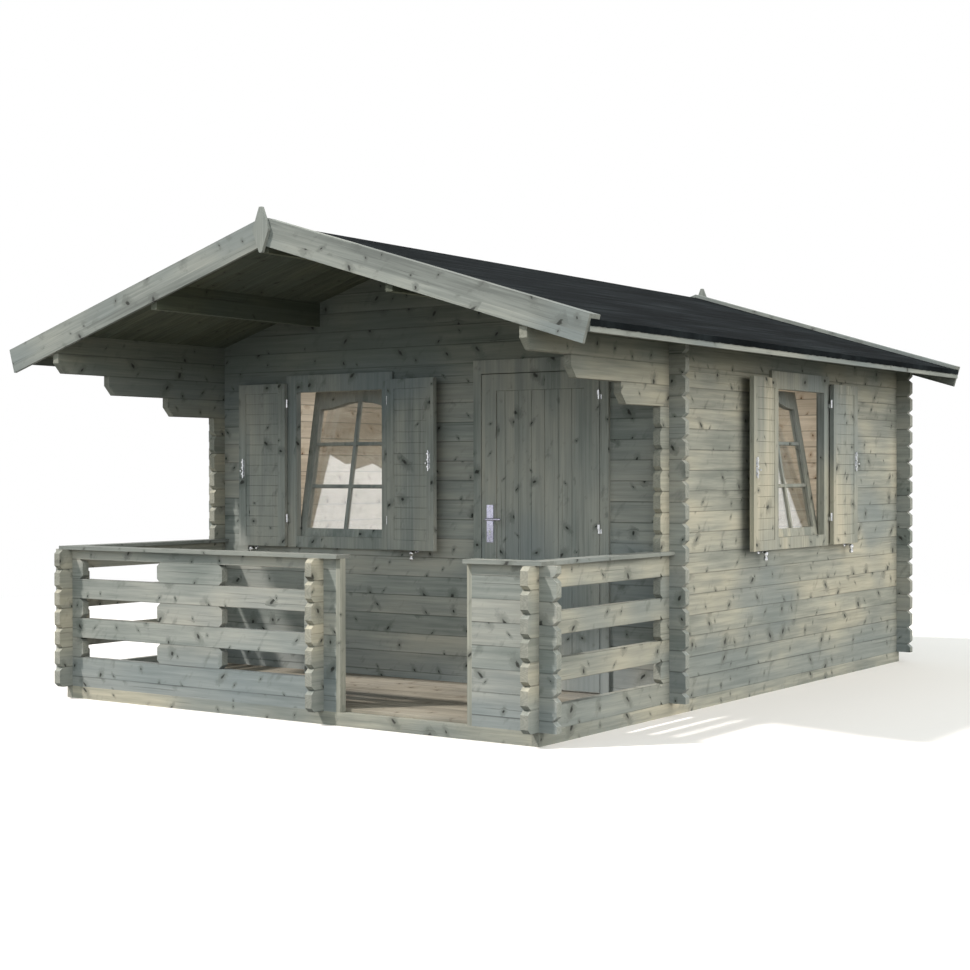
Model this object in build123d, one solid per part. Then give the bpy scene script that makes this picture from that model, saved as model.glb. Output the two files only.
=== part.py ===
"""A log guest cabin with a railed veranda under a felted gable roof.

Millimetres, +Z up. X runs across the front, Y from the veranda to the back wall.
The origin lies on the ground, under the middle of the whole cabin.
"""
import os
from math import cos, radians, sin, tan

from build123d import *

# Logs, shared by every wall and railing
log_height = 114.0
log_thickness = 44.0
log_overrun = 98.0
course_groove = 1.5
log_end_cut_height = 22.0
log_end_cut_depth = 25.0

# Plan and levels
cabin_width = 3300.0
cabin_depth = 3300.0
veranda_depth = 1285.0
base_height = 70.0
floor_thickness = 18.0
joist_pitch = 460.0
eave_trim = 16.0
side_courses = 18
gable_courses = 23
door_courses = 16

# Railings
rail_courses = 7
rail_stub_length = 88.0
rail_cap_thickness = 20.0
rail_cap_overhang = 34.0
rail_cap_end_overhang = 3.0
end_board_thickness = 28.0
entrance_center_share = 0.2497
entrance_width = 807.0
entrance_stack_offset = 106.0
block_center_share = -0.201
block_length = 498.0

# Roof
roof_pitch = 17.0
front_overhang = 122.0
back_overhang = 215.0
eave_reach = 330.0
roof_board_thickness = 18.0
felt_thickness = 5.0
felt_lip = 29.0
fascia_thickness = 18.0
fascia_height = 56.0
purlin_width = 44.0
purlin_depth = 140.0
bargeboard_thickness = 20.0
bargeboard_depth = 120.0
verge_strip_thickness = 22.0
verge_strip_width = 95.0
finial_width = 112.0
finial_height = 240.0
finial_rise = 52.0
finial_thickness = 20.0
finial_tip_width = 18.0

# Forward ends of the stepped top logs, measured back from the railing's face
corbel_courses = 4
corbel_chamfer_length = 52.0
corbel_chamfer_height = 57.0
upper_corbel_setback = 290.0
lower_corbel_setback = 775.0

# Door
door_center_share = 0.251
leaf_width = 790.0
leaf_bottom = 97.0
door_head_height = 68.0
leaf_thickness = 40.0
leaf_stile = 100.0
leaf_top_rail = 95.0
leaf_bottom_rail = 150.0
leaf_panel_recess = 11.0
leaf_gap = 5.0
jamb_thickness = 30.0
door_casing_width = 54.0
door_casing_top = 78.0
casing_thickness = 20.0
door_stop_width = 14.0
door_stop_depth = 16.0
handle_inset = 60.0
handle_height = 1046.0
plate_width = 45.0
plate_height = 215.0
plate_drop = 26.0
plate_thickness = 6.0
plate_corner = 3.0
lever_length = 92.0
lever_radius = 8.0
lever_stand_off = 46.0
spindle_radius = 5.0
spindle_clearance = 0.3
door_hinge_inset = 135.0

# Hinge hardware
knuckle_radius = 7.0
knuckle_height = 25.0
knuckle_gap = 0.6
knuckle_clearance = 1.0
hinge_plate_length = 14.0
hinge_plate_thickness = 3.0

# Windows and shutters
front_window_center_share = -0.194
window_width = 677.0
window_bottom = 920.0
window_head_drop = 136.0
window_lining = 47.0
window_stop_depth = 23.0
sash_overlap = 21.0
window_casing_width = 80.0
window_casing_top = 105.0
window_casing_bottom = 70.0
sash_gap = 3.0
sash_thickness = 38.0
sash_stile = 55.0
sash_bottom_rail = 68.0
sash_top_rail = 112.0
sash_arch_rise = 45.0
sash_tilt = 10.3
sash_seat = 0.2
glass_thickness = 4.0
glass_bite = 8.0
shutter_thickness = 27.0
shutter_drop = 65.0
shutter_rise = 56.0
shutter_stile = 58.0
shutter_rail = 58.0
shutter_recess = 6.0
shutter_wall_gap = 8.0
shutter_hinge_gap = 8.0
shutter_meeting_gap = 12.0
shutter_axis_inset = 20.0
shutter_rest_angles = {"front_left": 0.0, "front_right": 7.0, "side_left": 4.0, "side_right": 0.0}
shutter_hinge_inset = 150.0
catch_insets = {"front_left": 100.0, "front_right": 205.0, "side_left": 225.0, "side_right": 92.0}
catch_drop = 11.0
catch_rod_radius = 4.0
catch_head_margin = 1.5
catch_reach = 48.0
catch_drop_radius = 9.0
catch_drop_height = 44.0
catch_bulge_share = 0.65
catch_rose_radius = 14.0
catch_rose_thickness = 4.0

# Cutting solids run past what they cut by this much
overrun = 60.0

# Places worked out from the sizes above
half_width = cabin_width / 2
entrance_center = entrance_center_share * cabin_width
block_center = block_center_share * cabin_width
door_center = door_center_share * cabin_width
front_window_center = front_window_center_share * cabin_width
total_depth = (front_overhang + veranda_depth + cabin_depth + back_overhang) + 2 * finial_thickness
rail_y = -total_depth / 2 + finial_thickness + front_overhang
front_y = rail_y + veranda_depth
back_y = front_y + cabin_depth
floor_top = base_height + floor_thickness
eave_height = base_height + side_courses * log_height - eave_trim
door_split = base_height + log_height / 2 + door_courses * log_height
slope = tan(radians(roof_pitch))
pitch_cosine = cos(radians(roof_pitch))
roof_front_y = rail_y - front_overhang + bargeboard_thickness
roof_back_y = back_y + back_overhang - bargeboard_thickness
eave_x = half_width + eave_reach
verge_x = eave_x + fascia_thickness + felt_thickness
entrance_left = entrance_center - entrance_width / 2
entrance_right = entrance_center + entrance_width / 2
stack_left = entrance_left - end_board_thickness - entrance_stack_offset - log_thickness / 2
rail_top = base_height + rail_courses * log_height
rail_cap_top = rail_top + rail_cap_thickness
rail_end_y = front_y - log_overrun
rail_stub_y = rail_y + log_thickness + rail_stub_length
leaf_top = door_split - door_head_height - leaf_gap
leaf_left = door_center - leaf_width / 2
leaf_right = door_center + leaf_width / 2
door_hole_left = leaf_left - leaf_gap - jamb_thickness
door_hole_right = leaf_right + leaf_gap + jamb_thickness
door_hinge_low = leaf_bottom + door_hinge_inset
door_hinge_high = leaf_top - door_hinge_inset - knuckle_height
door_hinge_heights = (door_hinge_low, (door_hinge_low + door_hinge_high) / 2, door_hinge_high)
door_axis_x = leaf_right + leaf_gap / 2
casing_face_y = front_y - casing_thickness
door_axis_y = casing_face_y - knuckle_radius - knuckle_clearance
window_top = door_split - window_head_drop
shutter_bottom = window_bottom - shutter_drop
shutter_top = window_top + shutter_rise
shutter_axis_u = window_width / 2 + window_casing_width - shutter_axis_inset
shutter_axis_y = -casing_thickness - shutter_wall_gap - shutter_thickness / 2
shutter_width = shutter_axis_u - shutter_hinge_gap - shutter_meeting_gap / 2


def side_seam(course):
    """Level of the joint under a course of the side walls."""
    return base_height + course * log_height


def front_seam(course):
    """Level of the joint over a course of the front and back walls, which start on a half log."""
    return base_height + log_height / 2 + course * log_height


def roof_under(x):
    """Level of the underside of the roof boards."""
    return eave_height + (half_width - abs(x)) * slope


def roof_top(x):
    """Level of the top of the felt."""
    return roof_under(x) + (roof_board_thickness + felt_thickness) / pitch_cosine


def prism(points, depth, start=0.0):
    """Outline in X and Z, drawn out along Y from start."""
    face = make_face(Polyline(*points, close=True))
    return extrude(Plane((0, start + depth, 0), (1, 0, 0), (0, -1, 0)) * face, amount=depth)


def through(points):
    """Outline in X and Z, drawn out far enough to cut right through one log wall."""
    return prism(points, log_thickness + 2 * overrun, -overrun)


def box(low, high):
    """Box between two corners."""
    size = [b - a for a, b in zip(low, high)]
    middle = [(a + b) / 2 for a, b in zip(low, high)]
    return Pos(*middle) * Box(*size)


def rectangle(u0, u1, z0, z1):
    return [(u0, z0), (u1, z0), (u1, z1), (u0, z1)]


def log_panel(u0, u1, z0, tops, seams):
    """Courses of logs along X, with a V between them on both faces.

    tops are the top levels of the two faces.
    """
    inside = [z for z in seams if z0 + course_groove < z < min(tops) - course_groove]
    near = [(0, z0)]
    far = [(log_thickness, z0)]
    for z in inside:
        near += [(0, z - course_groove), (course_groove, z), (0, z + course_groove)]
        far += [
            (log_thickness, z - course_groove),
            (log_thickness - course_groove, z),
            (log_thickness, z + course_groove),
        ]
    near.append((0, tops[0]))
    far.append((log_thickness, tops[1]))
    outline = make_face(Polyline(*near, *reversed(far), close=True))
    return extrude(Plane((u0, 0, 0), (0, 1, 0), (1, 0, 0)) * outline, amount=u1 - u0)


def end_notches(u, inward, seams):
    """V cuts that chamfer the log ends at u; inward is the direction into the wall."""
    cuts = []
    for z in seams:
        reach = -inward * overrun
        cuts.append(through([
            (u + reach, z - log_end_cut_height),
            (u, z - log_end_cut_height),
            (u + inward * log_end_cut_depth, z),
            (u, z + log_end_cut_height),
            (u + reach, z + log_end_cut_height),
        ]))
    return cuts


def notches_for_side_logs(u):
    """Where the side wall's logs pass through a front or back wall, from u on."""
    quarter = log_height / 4
    return [
        through(rectangle(u, u + log_thickness, side_seam(n) + quarter, side_seam(n) + 3 * quarter))
        for n in range(side_courses)
    ]


def notches_for_front_logs(u):
    """Where a front or back wall's logs pass through a side wall, from u on."""
    quarter = log_height / 4
    return [
        through(rectangle(u, u + log_thickness, side_seam(n) - quarter, side_seam(n) + quarter))
        for n in range(side_courses + 1)
    ]


def rail_gap(u0, u1, z0, z1):
    """Open row between two rails, whose ends follow the chamfers of the blocks beside it."""
    return through([
        (u0 - log_end_cut_depth, z0),
        (u1 + log_end_cut_depth, z0),
        (u1, z0 + log_end_cut_height),
        (u1, z1 - log_end_cut_height),
        (u1 + log_end_cut_depth, z1),
        (u0 - log_end_cut_depth, z1),
        (u0, z1 - log_end_cut_height),
        (u0, z0 + log_end_cut_height),
    ])


def along_x(panel, y):
    """Stand a panel along X with its near face at y."""
    return Pos(0, y, 0) * panel


def along_y(panel, x):
    """Stand a panel along Y with its outer face at x, on the right-hand side."""
    return Pos(x, 0, 0) * Rot(0, 0, 90) * panel


def mirrored(solid):
    """The same piece on the left-hand side."""
    return mirror(solid, about=Plane.YZ)


def purlin_outline(x):
    """Section of a roof purlin centred on x, with its top on the roof boards."""
    left = x - purlin_width / 2
    right = x + purlin_width / 2
    bottom = roof_under(x) - purlin_depth
    points = [(left, bottom), (right, bottom), (right, roof_under(right))]
    if left < 0 < right:
        points.append((0, roof_under(0)))
    points.append((left, roof_under(left)))
    return points


purlin_places = {"ridge": 0.0, "left": -half_width / 2, "right": half_width / 2}


def above_roof():
    """All that lies above the underside of the roof boards, over a gable."""
    far = eave_x + overrun
    low = roof_under(far)
    peak = roof_under(0)
    sky = peak + overrun
    return through([(-far, low), (0, peak), (far, low), (far, sky), (-far, sky)])


def purlin_notches():
    return [through(purlin_outline(x)) for x in purlin_places.values()]


outer_end = half_width + log_overrun
front_seams = [front_seam(n) for n in range(gable_courses)]
side_seams = [side_seam(n) for n in range(side_courses + 1)]
window_hole_bottom = window_bottom - window_lining
window_hole_top = window_top + window_lining
window_hole_half = window_width / 2 + window_lining


def window_hole(center):
    left = center - window_hole_half
    right = center + window_hole_half
    return through(rectangle(left, right, window_hole_bottom, window_hole_top))


def front_walls():
    """The front wall: beside the doorway, and the gable over it."""
    left = log_panel(-outer_end, door_hole_left, base_height, (door_split, door_split), front_seams)
    left -= notches_for_side_logs(-half_width) + end_notches(-outer_end, 1, front_seams)
    left -= [window_hole(front_window_center)]
    right = log_panel(door_hole_right, outer_end, base_height, (door_split, door_split), front_seams)
    right -= notches_for_side_logs(half_width - log_thickness) + end_notches(outer_end, -1, front_seams)
    peak = roof_under(0) + overrun / 2
    gable = log_panel(-outer_end, outer_end, door_split, (peak, peak), front_seams)
    gable -= gable_cuts()
    return {
        "front_wall_left": along_x(left, front_y),
        "front_wall_right": along_x(right, front_y),
        "front_gable": along_x(gable, front_y),
    }


def gable_cuts():
    """Corner joints, log ends, roof line and purlins of a whole gable wall."""
    cuts = notches_for_side_logs(-half_width) + notches_for_side_logs(half_width - log_thickness)
    cuts += end_notches(-outer_end, 1, front_seams) + end_notches(outer_end, -1, front_seams)
    return cuts + [above_roof()] + purlin_notches()


def back_wall():
    peak = roof_under(0) + overrun / 2
    wall = log_panel(-outer_end, outer_end, base_height, (peak, peak), front_seams)
    wall -= gable_cuts()
    return {"back_wall": along_x(wall, back_y - log_thickness)}


def corbel_cut(front, course, far):
    """Space in front of one stepped top log, whose lower corner is cut off."""
    low = side_seam(course)
    return through([
        (far, low),
        (front + corbel_chamfer_length, low),
        (front, low + corbel_chamfer_height),
        (front, side_seam(course + 1)),
        (far, side_seam(course + 1)),
    ])


def side_wall():
    """A side wall from the log ends before the front wall to those behind the back wall.

    Its top logs reach forward as stepped brackets under the eaves.
    """
    far = roof_front_y - overrun
    last = back_y + log_overrun
    tops = (eave_height, eave_height + log_thickness * slope)
    wall = log_panel(roof_front_y, last, base_height, tops, side_seams)
    lowest = side_courses - corbel_courses
    cuts = [through(rectangle(far, rail_end_y, base_height - overrun, side_seam(lowest)))]
    cuts.append(corbel_cut(rail_y + lower_corbel_setback, lowest, far))
    cuts.append(corbel_cut(rail_y + upper_corbel_setback, lowest + 1, far))
    cuts.append(corbel_cut(roof_front_y, lowest + 2, far))
    cuts += end_notches(rail_end_y, 1, side_seams[:lowest])
    cuts += end_notches(last, -1, side_seams[:side_courses])
    cuts += notches_for_front_logs(front_y) + notches_for_front_logs(back_y - log_thickness)
    return wall - cuts


def side_walls():
    plain = side_wall()
    pierced = plain - [window_hole(front_y + cabin_depth / 2)]
    return {
        "right_wall": along_y(pierced, half_width),
        "left_wall": mirrored(along_y(plain, half_width)),
    }


def railings():
    """Log railings round the veranda, open in every second row."""
    tops = (rail_top, rail_top)
    open_courses = range(1, rail_courses - 1, 2)
    left_end = entrance_left - end_board_thickness
    right_start = entrance_right + end_board_thickness
    front_ends_y = rail_y - log_overrun
    front_rail = log_panel(-outer_end, left_end, base_height, tops, front_seams)
    cuts = notches_for_side_logs(-half_width) + notches_for_side_logs(stack_left)
    cuts += end_notches(-outer_end, 1, front_seams)
    corner_stub_x = -half_width + log_thickness + rail_stub_length
    gap_starts = (corner_stub_x, block_center + block_length / 2)
    gap_ends = (block_center - block_length / 2, stack_left - rail_stub_length)
    for course in open_courses:
        for start, end in zip(gap_starts, gap_ends):
            cuts.append(rail_gap(start, end, front_seam(course), front_seam(course + 1)))
    short_rail = log_panel(right_start, outer_end, base_height, tops, front_seams)
    short_cuts = notches_for_side_logs(half_width - log_thickness)
    short_cuts += end_notches(outer_end, -1, front_seams)
    side_rail = log_panel(front_ends_y, rail_end_y, base_height, tops, side_seams)
    side_cuts = notches_for_front_logs(rail_y) + end_notches(front_ends_y, 1, side_seams)
    for course in open_courses:
        low = side_seam(course)
        high = side_seam(course + 1)
        side_cuts.append(rail_gap(rail_stub_y, rail_end_y + overrun, low, high))
    right_rail = along_y(side_rail - side_cuts, half_width)
    stack = log_panel(front_ends_y, rail_stub_y, base_height, tops, side_seams)
    stack_cuts = notches_for_front_logs(rail_y) + end_notches(front_ends_y, 1, side_seams)
    stack_cuts += end_notches(rail_stub_y, -1, side_seams)
    return {
        "front_railing_left": along_x(front_rail - cuts, rail_y),
        "front_railing_right": along_x(short_rail - short_cuts, rail_y),
        "right_railing": right_rail,
        "left_railing": mirrored(right_rail),
        "entrance_stack": along_y(stack - stack_cuts, stack_left + log_thickness),
    }


def railing_trim():
    """Boards that cap the railings and close their ends at the entrance."""
    outer = half_width + rail_cap_overhang
    front = rail_y - rail_cap_overhang
    rear = rail_y + log_thickness + rail_cap_overhang
    left_end = entrance_left + rail_cap_end_overhang
    right_start = entrance_right - rail_cap_end_overhang
    left_cap = box((-outer, front, rail_top), (left_end, rear, rail_cap_top))
    right_cap = box((right_start, front, rail_top), (outer, rear, rail_cap_top))
    inner = half_width - log_thickness - rail_cap_overhang
    side_cap = box((inner, rear, rail_top), (outer, front_y, rail_cap_top))
    log_ends = (half_width - log_thickness, rail_end_y, rail_top)
    side_cap -= box(log_ends, (half_width, front_y, rail_cap_top))
    boards = []
    for x in (entrance_left - end_board_thickness, entrance_right):
        high = (x + end_board_thickness, rail_y + log_thickness, rail_top)
        boards.append(box((x, rail_y, base_height), high))
    return {
        "front_railing_caps": Compound(children=[left_cap, right_cap]),
        "side_railing_caps": Compound(children=[side_cap, mirrored(side_cap)]),
        "entrance_end_boards": Compound(children=boards),
    }


def base_and_floors():
    """Bearers on the ground, joists between them, and the two floors on top."""
    inner = half_width - log_thickness
    side = box((inner, rail_y, 0), (half_width, back_y, base_height))
    places = [rail_y, front_y, back_y - log_thickness]
    for start, end in zip(places, places[1:]):
        count = int((end - start) // joist_pitch)
        places = places + [start + (end - start) * n / (count + 1) for n in range(1, count + 1)]
    beams = [box((-inner, y, 0), (inner, y + log_thickness, base_height)) for y in sorted(places)]
    cabin_start = (-inner, front_y + log_thickness, base_height)
    cabin = box(cabin_start, (inner, back_y - log_thickness, floor_top))
    veranda = box((-inner, rail_y + log_thickness, base_height), (inner, front_y, floor_top))
    stack_right = stack_left + log_thickness
    veranda -= box((stack_left, rail_y, base_height), (stack_right, rail_stub_y, floor_top))
    return {
        "right_bearer": side,
        "left_bearer": mirrored(side),
        "cross_bearers": Compound(children=beams),
        "cabin_floor": cabin,
        "veranda_floor": veranda,
    }


def roof():
    """Purlins, roof boards, felt, fascias, bargeboards, verge strips and finials."""
    length = roof_back_y - roof_front_y
    purlins = {name: prism(purlin_outline(x), length, roof_front_y) for name, x in purlin_places.items()}
    board_rise = roof_board_thickness / pitch_cosine
    felt_rise = felt_thickness / pitch_cosine
    boards = prism([
        (0, roof_under(0)),
        (eave_x, roof_under(eave_x)),
        (eave_x, roof_under(eave_x) + board_rise),
        (0, roof_under(0) + board_rise),
    ], length, roof_front_y)
    fascia_x = eave_x + fascia_thickness
    fascia_top = roof_under(fascia_x) + board_rise
    fascia = prism([
        (eave_x, fascia_top - fascia_height),
        (fascia_x, fascia_top - fascia_height),
        (fascia_x, fascia_top),
        (eave_x, roof_under(eave_x) + board_rise),
    ], length, roof_front_y)
    felt = prism([
        (0, roof_under(0) + board_rise),
        (fascia_x, fascia_top),
        (fascia_x, fascia_top - felt_lip),
        (verge_x, fascia_top - felt_lip),
        (verge_x, roof_top(verge_x)),
        (0, roof_under(0) + board_rise + felt_rise),
    ], length, roof_front_y)
    lean = bargeboard_depth * sin(radians(roof_pitch))
    drop = bargeboard_depth * pitch_cosine
    barge_outline = [
        (0, roof_top(0)),
        (0, roof_top(0) - bargeboard_depth / pitch_cosine),
        (verge_x - lean, roof_top(verge_x) - drop),
        (verge_x, roof_top(verge_x)),
    ]
    strip_lean = verge_strip_thickness * sin(radians(roof_pitch))
    strip_outline = [
        (0, roof_top(0)),
        (verge_x, roof_top(verge_x)),
        (verge_x + strip_lean, roof_top(verge_x) + verge_strip_thickness * pitch_cosine),
        (0, roof_top(0) + verge_strip_thickness / pitch_cosine),
    ]
    front_board_y = roof_front_y - bargeboard_thickness
    strip_starts = (front_board_y, roof_back_y + bargeboard_thickness - verge_strip_width)
    barge = [prism(barge_outline, bargeboard_thickness, y) for y in (front_board_y, roof_back_y)]
    strips = [prism(strip_outline, verge_strip_width, y) for y in strip_starts]
    tip = roof_top(0) + verge_strip_thickness / pitch_cosine + finial_rise
    waist = tip - finial_height / 2
    diamond = [
        (-finial_tip_width / 2, tip),
        (finial_tip_width / 2, tip),
        (finial_width / 2, waist),
        (finial_tip_width / 2, tip - finial_height),
        (-finial_tip_width / 2, tip - finial_height),
        (-finial_width / 2, waist),
    ]
    finial_starts = (front_board_y - finial_thickness, roof_back_y + bargeboard_thickness)
    finials = [prism(diamond, finial_thickness, y) for y in finial_starts]
    return {
        "ridge_purlin": purlins["ridge"],
        "side_purlins": Compound(children=[purlins["left"], purlins["right"]]),
        "roof_boards_right": boards,
        "roof_boards_left": mirrored(boards),
        "roof_felt_right": felt,
        "roof_felt_left": mirrored(felt),
        "eave_fascias": Compound(children=[fascia, mirrored(fascia)]),
        "right_bargeboards": Compound(children=barge),
        "left_bargeboards": Compound(children=[mirrored(board) for board in barge]),
        "right_verge_strips": Compound(children=strips),
        "left_verge_strips": Compound(children=[mirrored(strip) for strip in strips]),
        "finials": Compound(children=finials),
    }


def framed_panel(u0, u1, z0, z1, y0, thickness, stile, rails, recess):
    """A framed door or shutter along X, whose panel is set back from both faces.

    rails are the heights of the bottom and top rails.
    """
    body = box((u0, y0, z0), (u1, y0 + thickness, z1))
    for face in (y0, y0 + thickness):
        low = (u0 + stile, face - recess, z0 + rails[0])
        high = (u1 - stile, face + recess, z1 - rails[1])
        body -= box(low, high)
    return body


def knuckle(x, y, z, height):
    """One hinge knuckle standing on z."""
    return Pos(x, y, z + height / 2) * Cylinder(knuckle_radius, height)


def door():
    """Door frame, leaf, hinges, handle plates and lever."""
    head_bottom = leaf_top + leaf_gap
    in_left = leaf_left - leaf_gap
    in_right = leaf_right + leaf_gap
    wall_back_y = front_y + log_thickness
    frame = box((door_hole_left, front_y, base_height), (door_hole_right, wall_back_y, door_split))
    frame += box(
        (in_left - door_casing_width, casing_face_y, floor_top),
        (in_right + door_casing_width, front_y, head_bottom + door_casing_top),
    )
    stop_y = wall_back_y - door_stop_depth
    frame -= box((in_left, casing_face_y - overrun, floor_top), (in_right, stop_y, head_bottom))
    frame -= box(
        (in_left + door_stop_width, stop_y, floor_top),
        (in_right - door_stop_width, wall_back_y + overrun, head_bottom - door_stop_width),
    )
    rails = (leaf_bottom_rail, leaf_top_rail)
    leaf = framed_panel(leaf_left, leaf_right, leaf_bottom, leaf_top, casing_face_y, leaf_thickness,
                        leaf_stile, rails, leaf_panel_recess)
    handle_x = leaf_left + handle_inset
    leaf_back_y = casing_face_y + leaf_thickness
    middle_y = (casing_face_y + leaf_back_y) / 2
    spindle_place = Pos(handle_x, middle_y, handle_height) * Rot(90, 0, 0)
    bore_radius = spindle_radius + spindle_clearance
    bore = spindle_place * Cylinder(bore_radius, leaf_thickness + 2 * overrun)
    leaf -= bore
    plates = []
    plate_center_z = handle_height - plate_drop
    for y in (casing_face_y - plate_thickness, leaf_back_y):
        plate = box(
            (handle_x - plate_width / 2, y, plate_center_z - plate_height / 2),
            (handle_x + plate_width / 2, y + plate_thickness, plate_center_z + plate_height / 2),
        )
        plate = fillet(plate.edges().filter_by(Axis.Y), plate_corner)
        plates.append(plate - bore)
    spindle_length = leaf_thickness + 2 * lever_stand_off
    lever = spindle_place * Cylinder(spindle_radius, spindle_length)
    arm = Rot(0, 90, 0) * Cylinder(lever_radius, lever_length)
    for y in (casing_face_y - lever_stand_off, leaf_back_y + lever_stand_off):
        lever += Pos(handle_x + lever_length / 2, y, handle_height) * arm
        lever += Pos(handle_x, y, handle_height) * Sphere(lever_radius)
        lever += Pos(handle_x + lever_length, y, handle_height) * Sphere(lever_radius)
    frame_hinges = []
    leaf_hinges = []
    plate_y = casing_face_y - hinge_plate_thickness
    for z in door_hinge_heights:
        fixed = knuckle(door_axis_x, door_axis_y, z, knuckle_height)
        fixed += box(
            (door_axis_x + leaf_gap / 2, plate_y, z),
            (door_axis_x + hinge_plate_length, casing_face_y, z + knuckle_height),
        )
        fixed += hinge_tongue(1, z, knuckle_height)
        moving_z = z + knuckle_height + knuckle_gap
        moving = knuckle(door_axis_x, door_axis_y, moving_z, knuckle_height)
        moving += box(
            (door_axis_x - hinge_plate_length, plate_y, moving_z),
            (door_axis_x - leaf_gap / 2, casing_face_y, moving_z + knuckle_height),
        )
        moving += hinge_tongue(-1, moving_z, knuckle_height)
        frame_hinges.append(fixed)
        leaf_hinges.append(moving)
    return {
        "door_frame": frame,
        "door_leaf": leaf,
        "door_handle_plates": Compound(children=plates),
        "door_lever": lever,
        "door_frame_hinges": Compound(children=frame_hinges),
        "door_leaf_hinges": Compound(children=leaf_hinges),
    }


def hinge_tongue(side, z, height):
    """Short flat between a door hinge's knuckle and its plate."""
    x = door_axis_x + side * leaf_gap
    low = (min(door_axis_x, x), casing_face_y - hinge_plate_thickness, z)
    return box(low, (max(door_axis_x, x), casing_face_y - hinge_plate_thickness / 2, z + height))


def window_frame():
    """Lining in the wall and casing on its face, along X with the wall's outer face at Y 0."""
    half = window_width / 2
    lining = box(
        (-window_hole_half, 0, window_hole_bottom),
        (window_hole_half, log_thickness, window_hole_top),
    )
    casing = box(
        (-half - window_casing_width, -casing_thickness, window_bottom - window_casing_bottom),
        (half + window_casing_width, 0, window_top + window_casing_top),
    )
    hole = box(
        (-half, -casing_thickness - overrun, window_bottom),
        (half, log_thickness + overrun, window_top),
    )
    pocket = sash_overlap + sash_gap
    rebate = box(
        (-half - pocket, window_stop_depth, window_bottom - pocket),
        (half + pocket, log_thickness + overrun, window_top + pocket),
    )
    return lining + casing - hole - rebate


def sash_light(half, top):
    """Opening of the sash, whose top edge rises to the middle in an S curve on each side."""
    crown = (0, top + sash_arch_rise)
    edges = [Polyline((-half, top), (-half, sash_bottom_rail), (half, sash_bottom_rail), (half, top))]
    for side in (-1, 1):
        bend = (side * half / 2, top + sash_arch_rise / 2)
        edges.append(TangentArc((side * half, top), bend, tangent=(-side, 0)))
        edges.append(TangentArc(crown, bend, tangent=(side, 0)))
    return make_face(edges)


def window_sash():
    """Sash and pane, tipped inwards at the top as a bottom-hung window opens."""
    half = window_width / 2 + sash_overlap
    height = window_top - window_bottom + 2 * sash_overlap
    frame = box((-half, 0, 0), (half, sash_thickness, height))
    inner = half - sash_stile
    arch_side = height - sash_top_rail
    depth = sash_thickness + 2 * overrun
    light = Plane((0, sash_thickness + overrun, 0), (1, 0, 0), (0, -1, 0)) * sash_light(inner, arch_side)
    frame -= extrude(light, amount=depth)
    pane_y = (sash_thickness - glass_thickness) / 2
    pane = box(
        (-inner - glass_bite, pane_y, sash_bottom_rail - glass_bite),
        (inner + glass_bite, pane_y + glass_thickness, arch_side + sash_arch_rise + glass_bite),
    )
    frame -= pane
    lean = sash_thickness * sin(radians(sash_tilt))
    seat_z = window_bottom - sash_overlap - sash_gap + sash_seat + lean
    place = Pos(0, window_stop_depth + sash_seat, seat_z) * Rot(-sash_tilt, 0, 0)
    return place * frame, place * pane


def shutter(side):
    """A closed shutter, its hinge plates, and the fixed knuckles.

    side is -1 on the left and 1 on the right.
    """
    edge = side * (shutter_axis_u - shutter_hinge_gap)
    free = side * shutter_meeting_gap / 2
    near_y = shutter_axis_y - shutter_thickness / 2
    rails = (shutter_rail, shutter_rail)
    board = framed_panel(min(edge, free), max(edge, free), shutter_bottom, shutter_top, near_y,
                         shutter_thickness, shutter_stile, rails, shutter_recess)
    axis_u = side * shutter_axis_u
    half_plate = hinge_plate_thickness / 2
    moving = []
    fixed = []
    for z in (shutter_bottom + shutter_hinge_inset, shutter_top - shutter_hinge_inset):
        moving_z = z + knuckle_height + knuckle_gap
        leaf = knuckle(axis_u, shutter_axis_y, moving_z, knuckle_height)
        leaf += box(
            (min(axis_u, edge), shutter_axis_y - half_plate, moving_z),
            (max(axis_u, edge), shutter_axis_y + half_plate, moving_z + knuckle_height),
        )
        moving.append(leaf)
        post = knuckle(axis_u, shutter_axis_y, z, knuckle_height)
        post += box(
            (axis_u - half_plate, shutter_axis_y, z),
            (axis_u + half_plate, -casing_thickness, z + knuckle_height),
        )
        fixed.append(post)
    return board, moving, fixed


def opened(solid, side, rest_angle):
    """Swing a closed shutter back to where it rests, so many degrees off the wall."""
    axis_u = side * shutter_axis_u
    turn = side * (180 - rest_angle)
    to_axis = Pos(axis_u, shutter_axis_y, 0)
    return to_axis * Rot(0, 0, turn) * to_axis.inverse() * solid


def shutter_catch(side, inset):
    """Holdback on the wall under an open shutter: rose, rod and hanging drop."""
    u = side * (shutter_axis_u + shutter_hinge_gap + shutter_width - inset)
    z = shutter_bottom - catch_drop
    across = Rot(90, 0, 0)
    rose = across * Cylinder(catch_rose_radius, catch_rose_thickness)
    rod = across * Cylinder(catch_rod_radius, catch_reach)
    head_radius = catch_rod_radius + catch_head_margin
    profile = Polyline(
        (0, 0),
        (head_radius, 0),
        (catch_drop_radius, -catch_drop_height * catch_bulge_share),
        (catch_drop_radius / 2, -catch_drop_height),
        (0, -catch_drop_height),
        close=True,
    )
    drop = revolve(Plane.XZ * make_face(profile), Axis.Z)
    catch = Pos(u, -catch_rose_thickness / 2, z) * rose
    catch += Pos(u, -catch_reach / 2, z) * rod
    return catch + Pos(u, -catch_reach, z + head_radius) * drop


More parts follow.
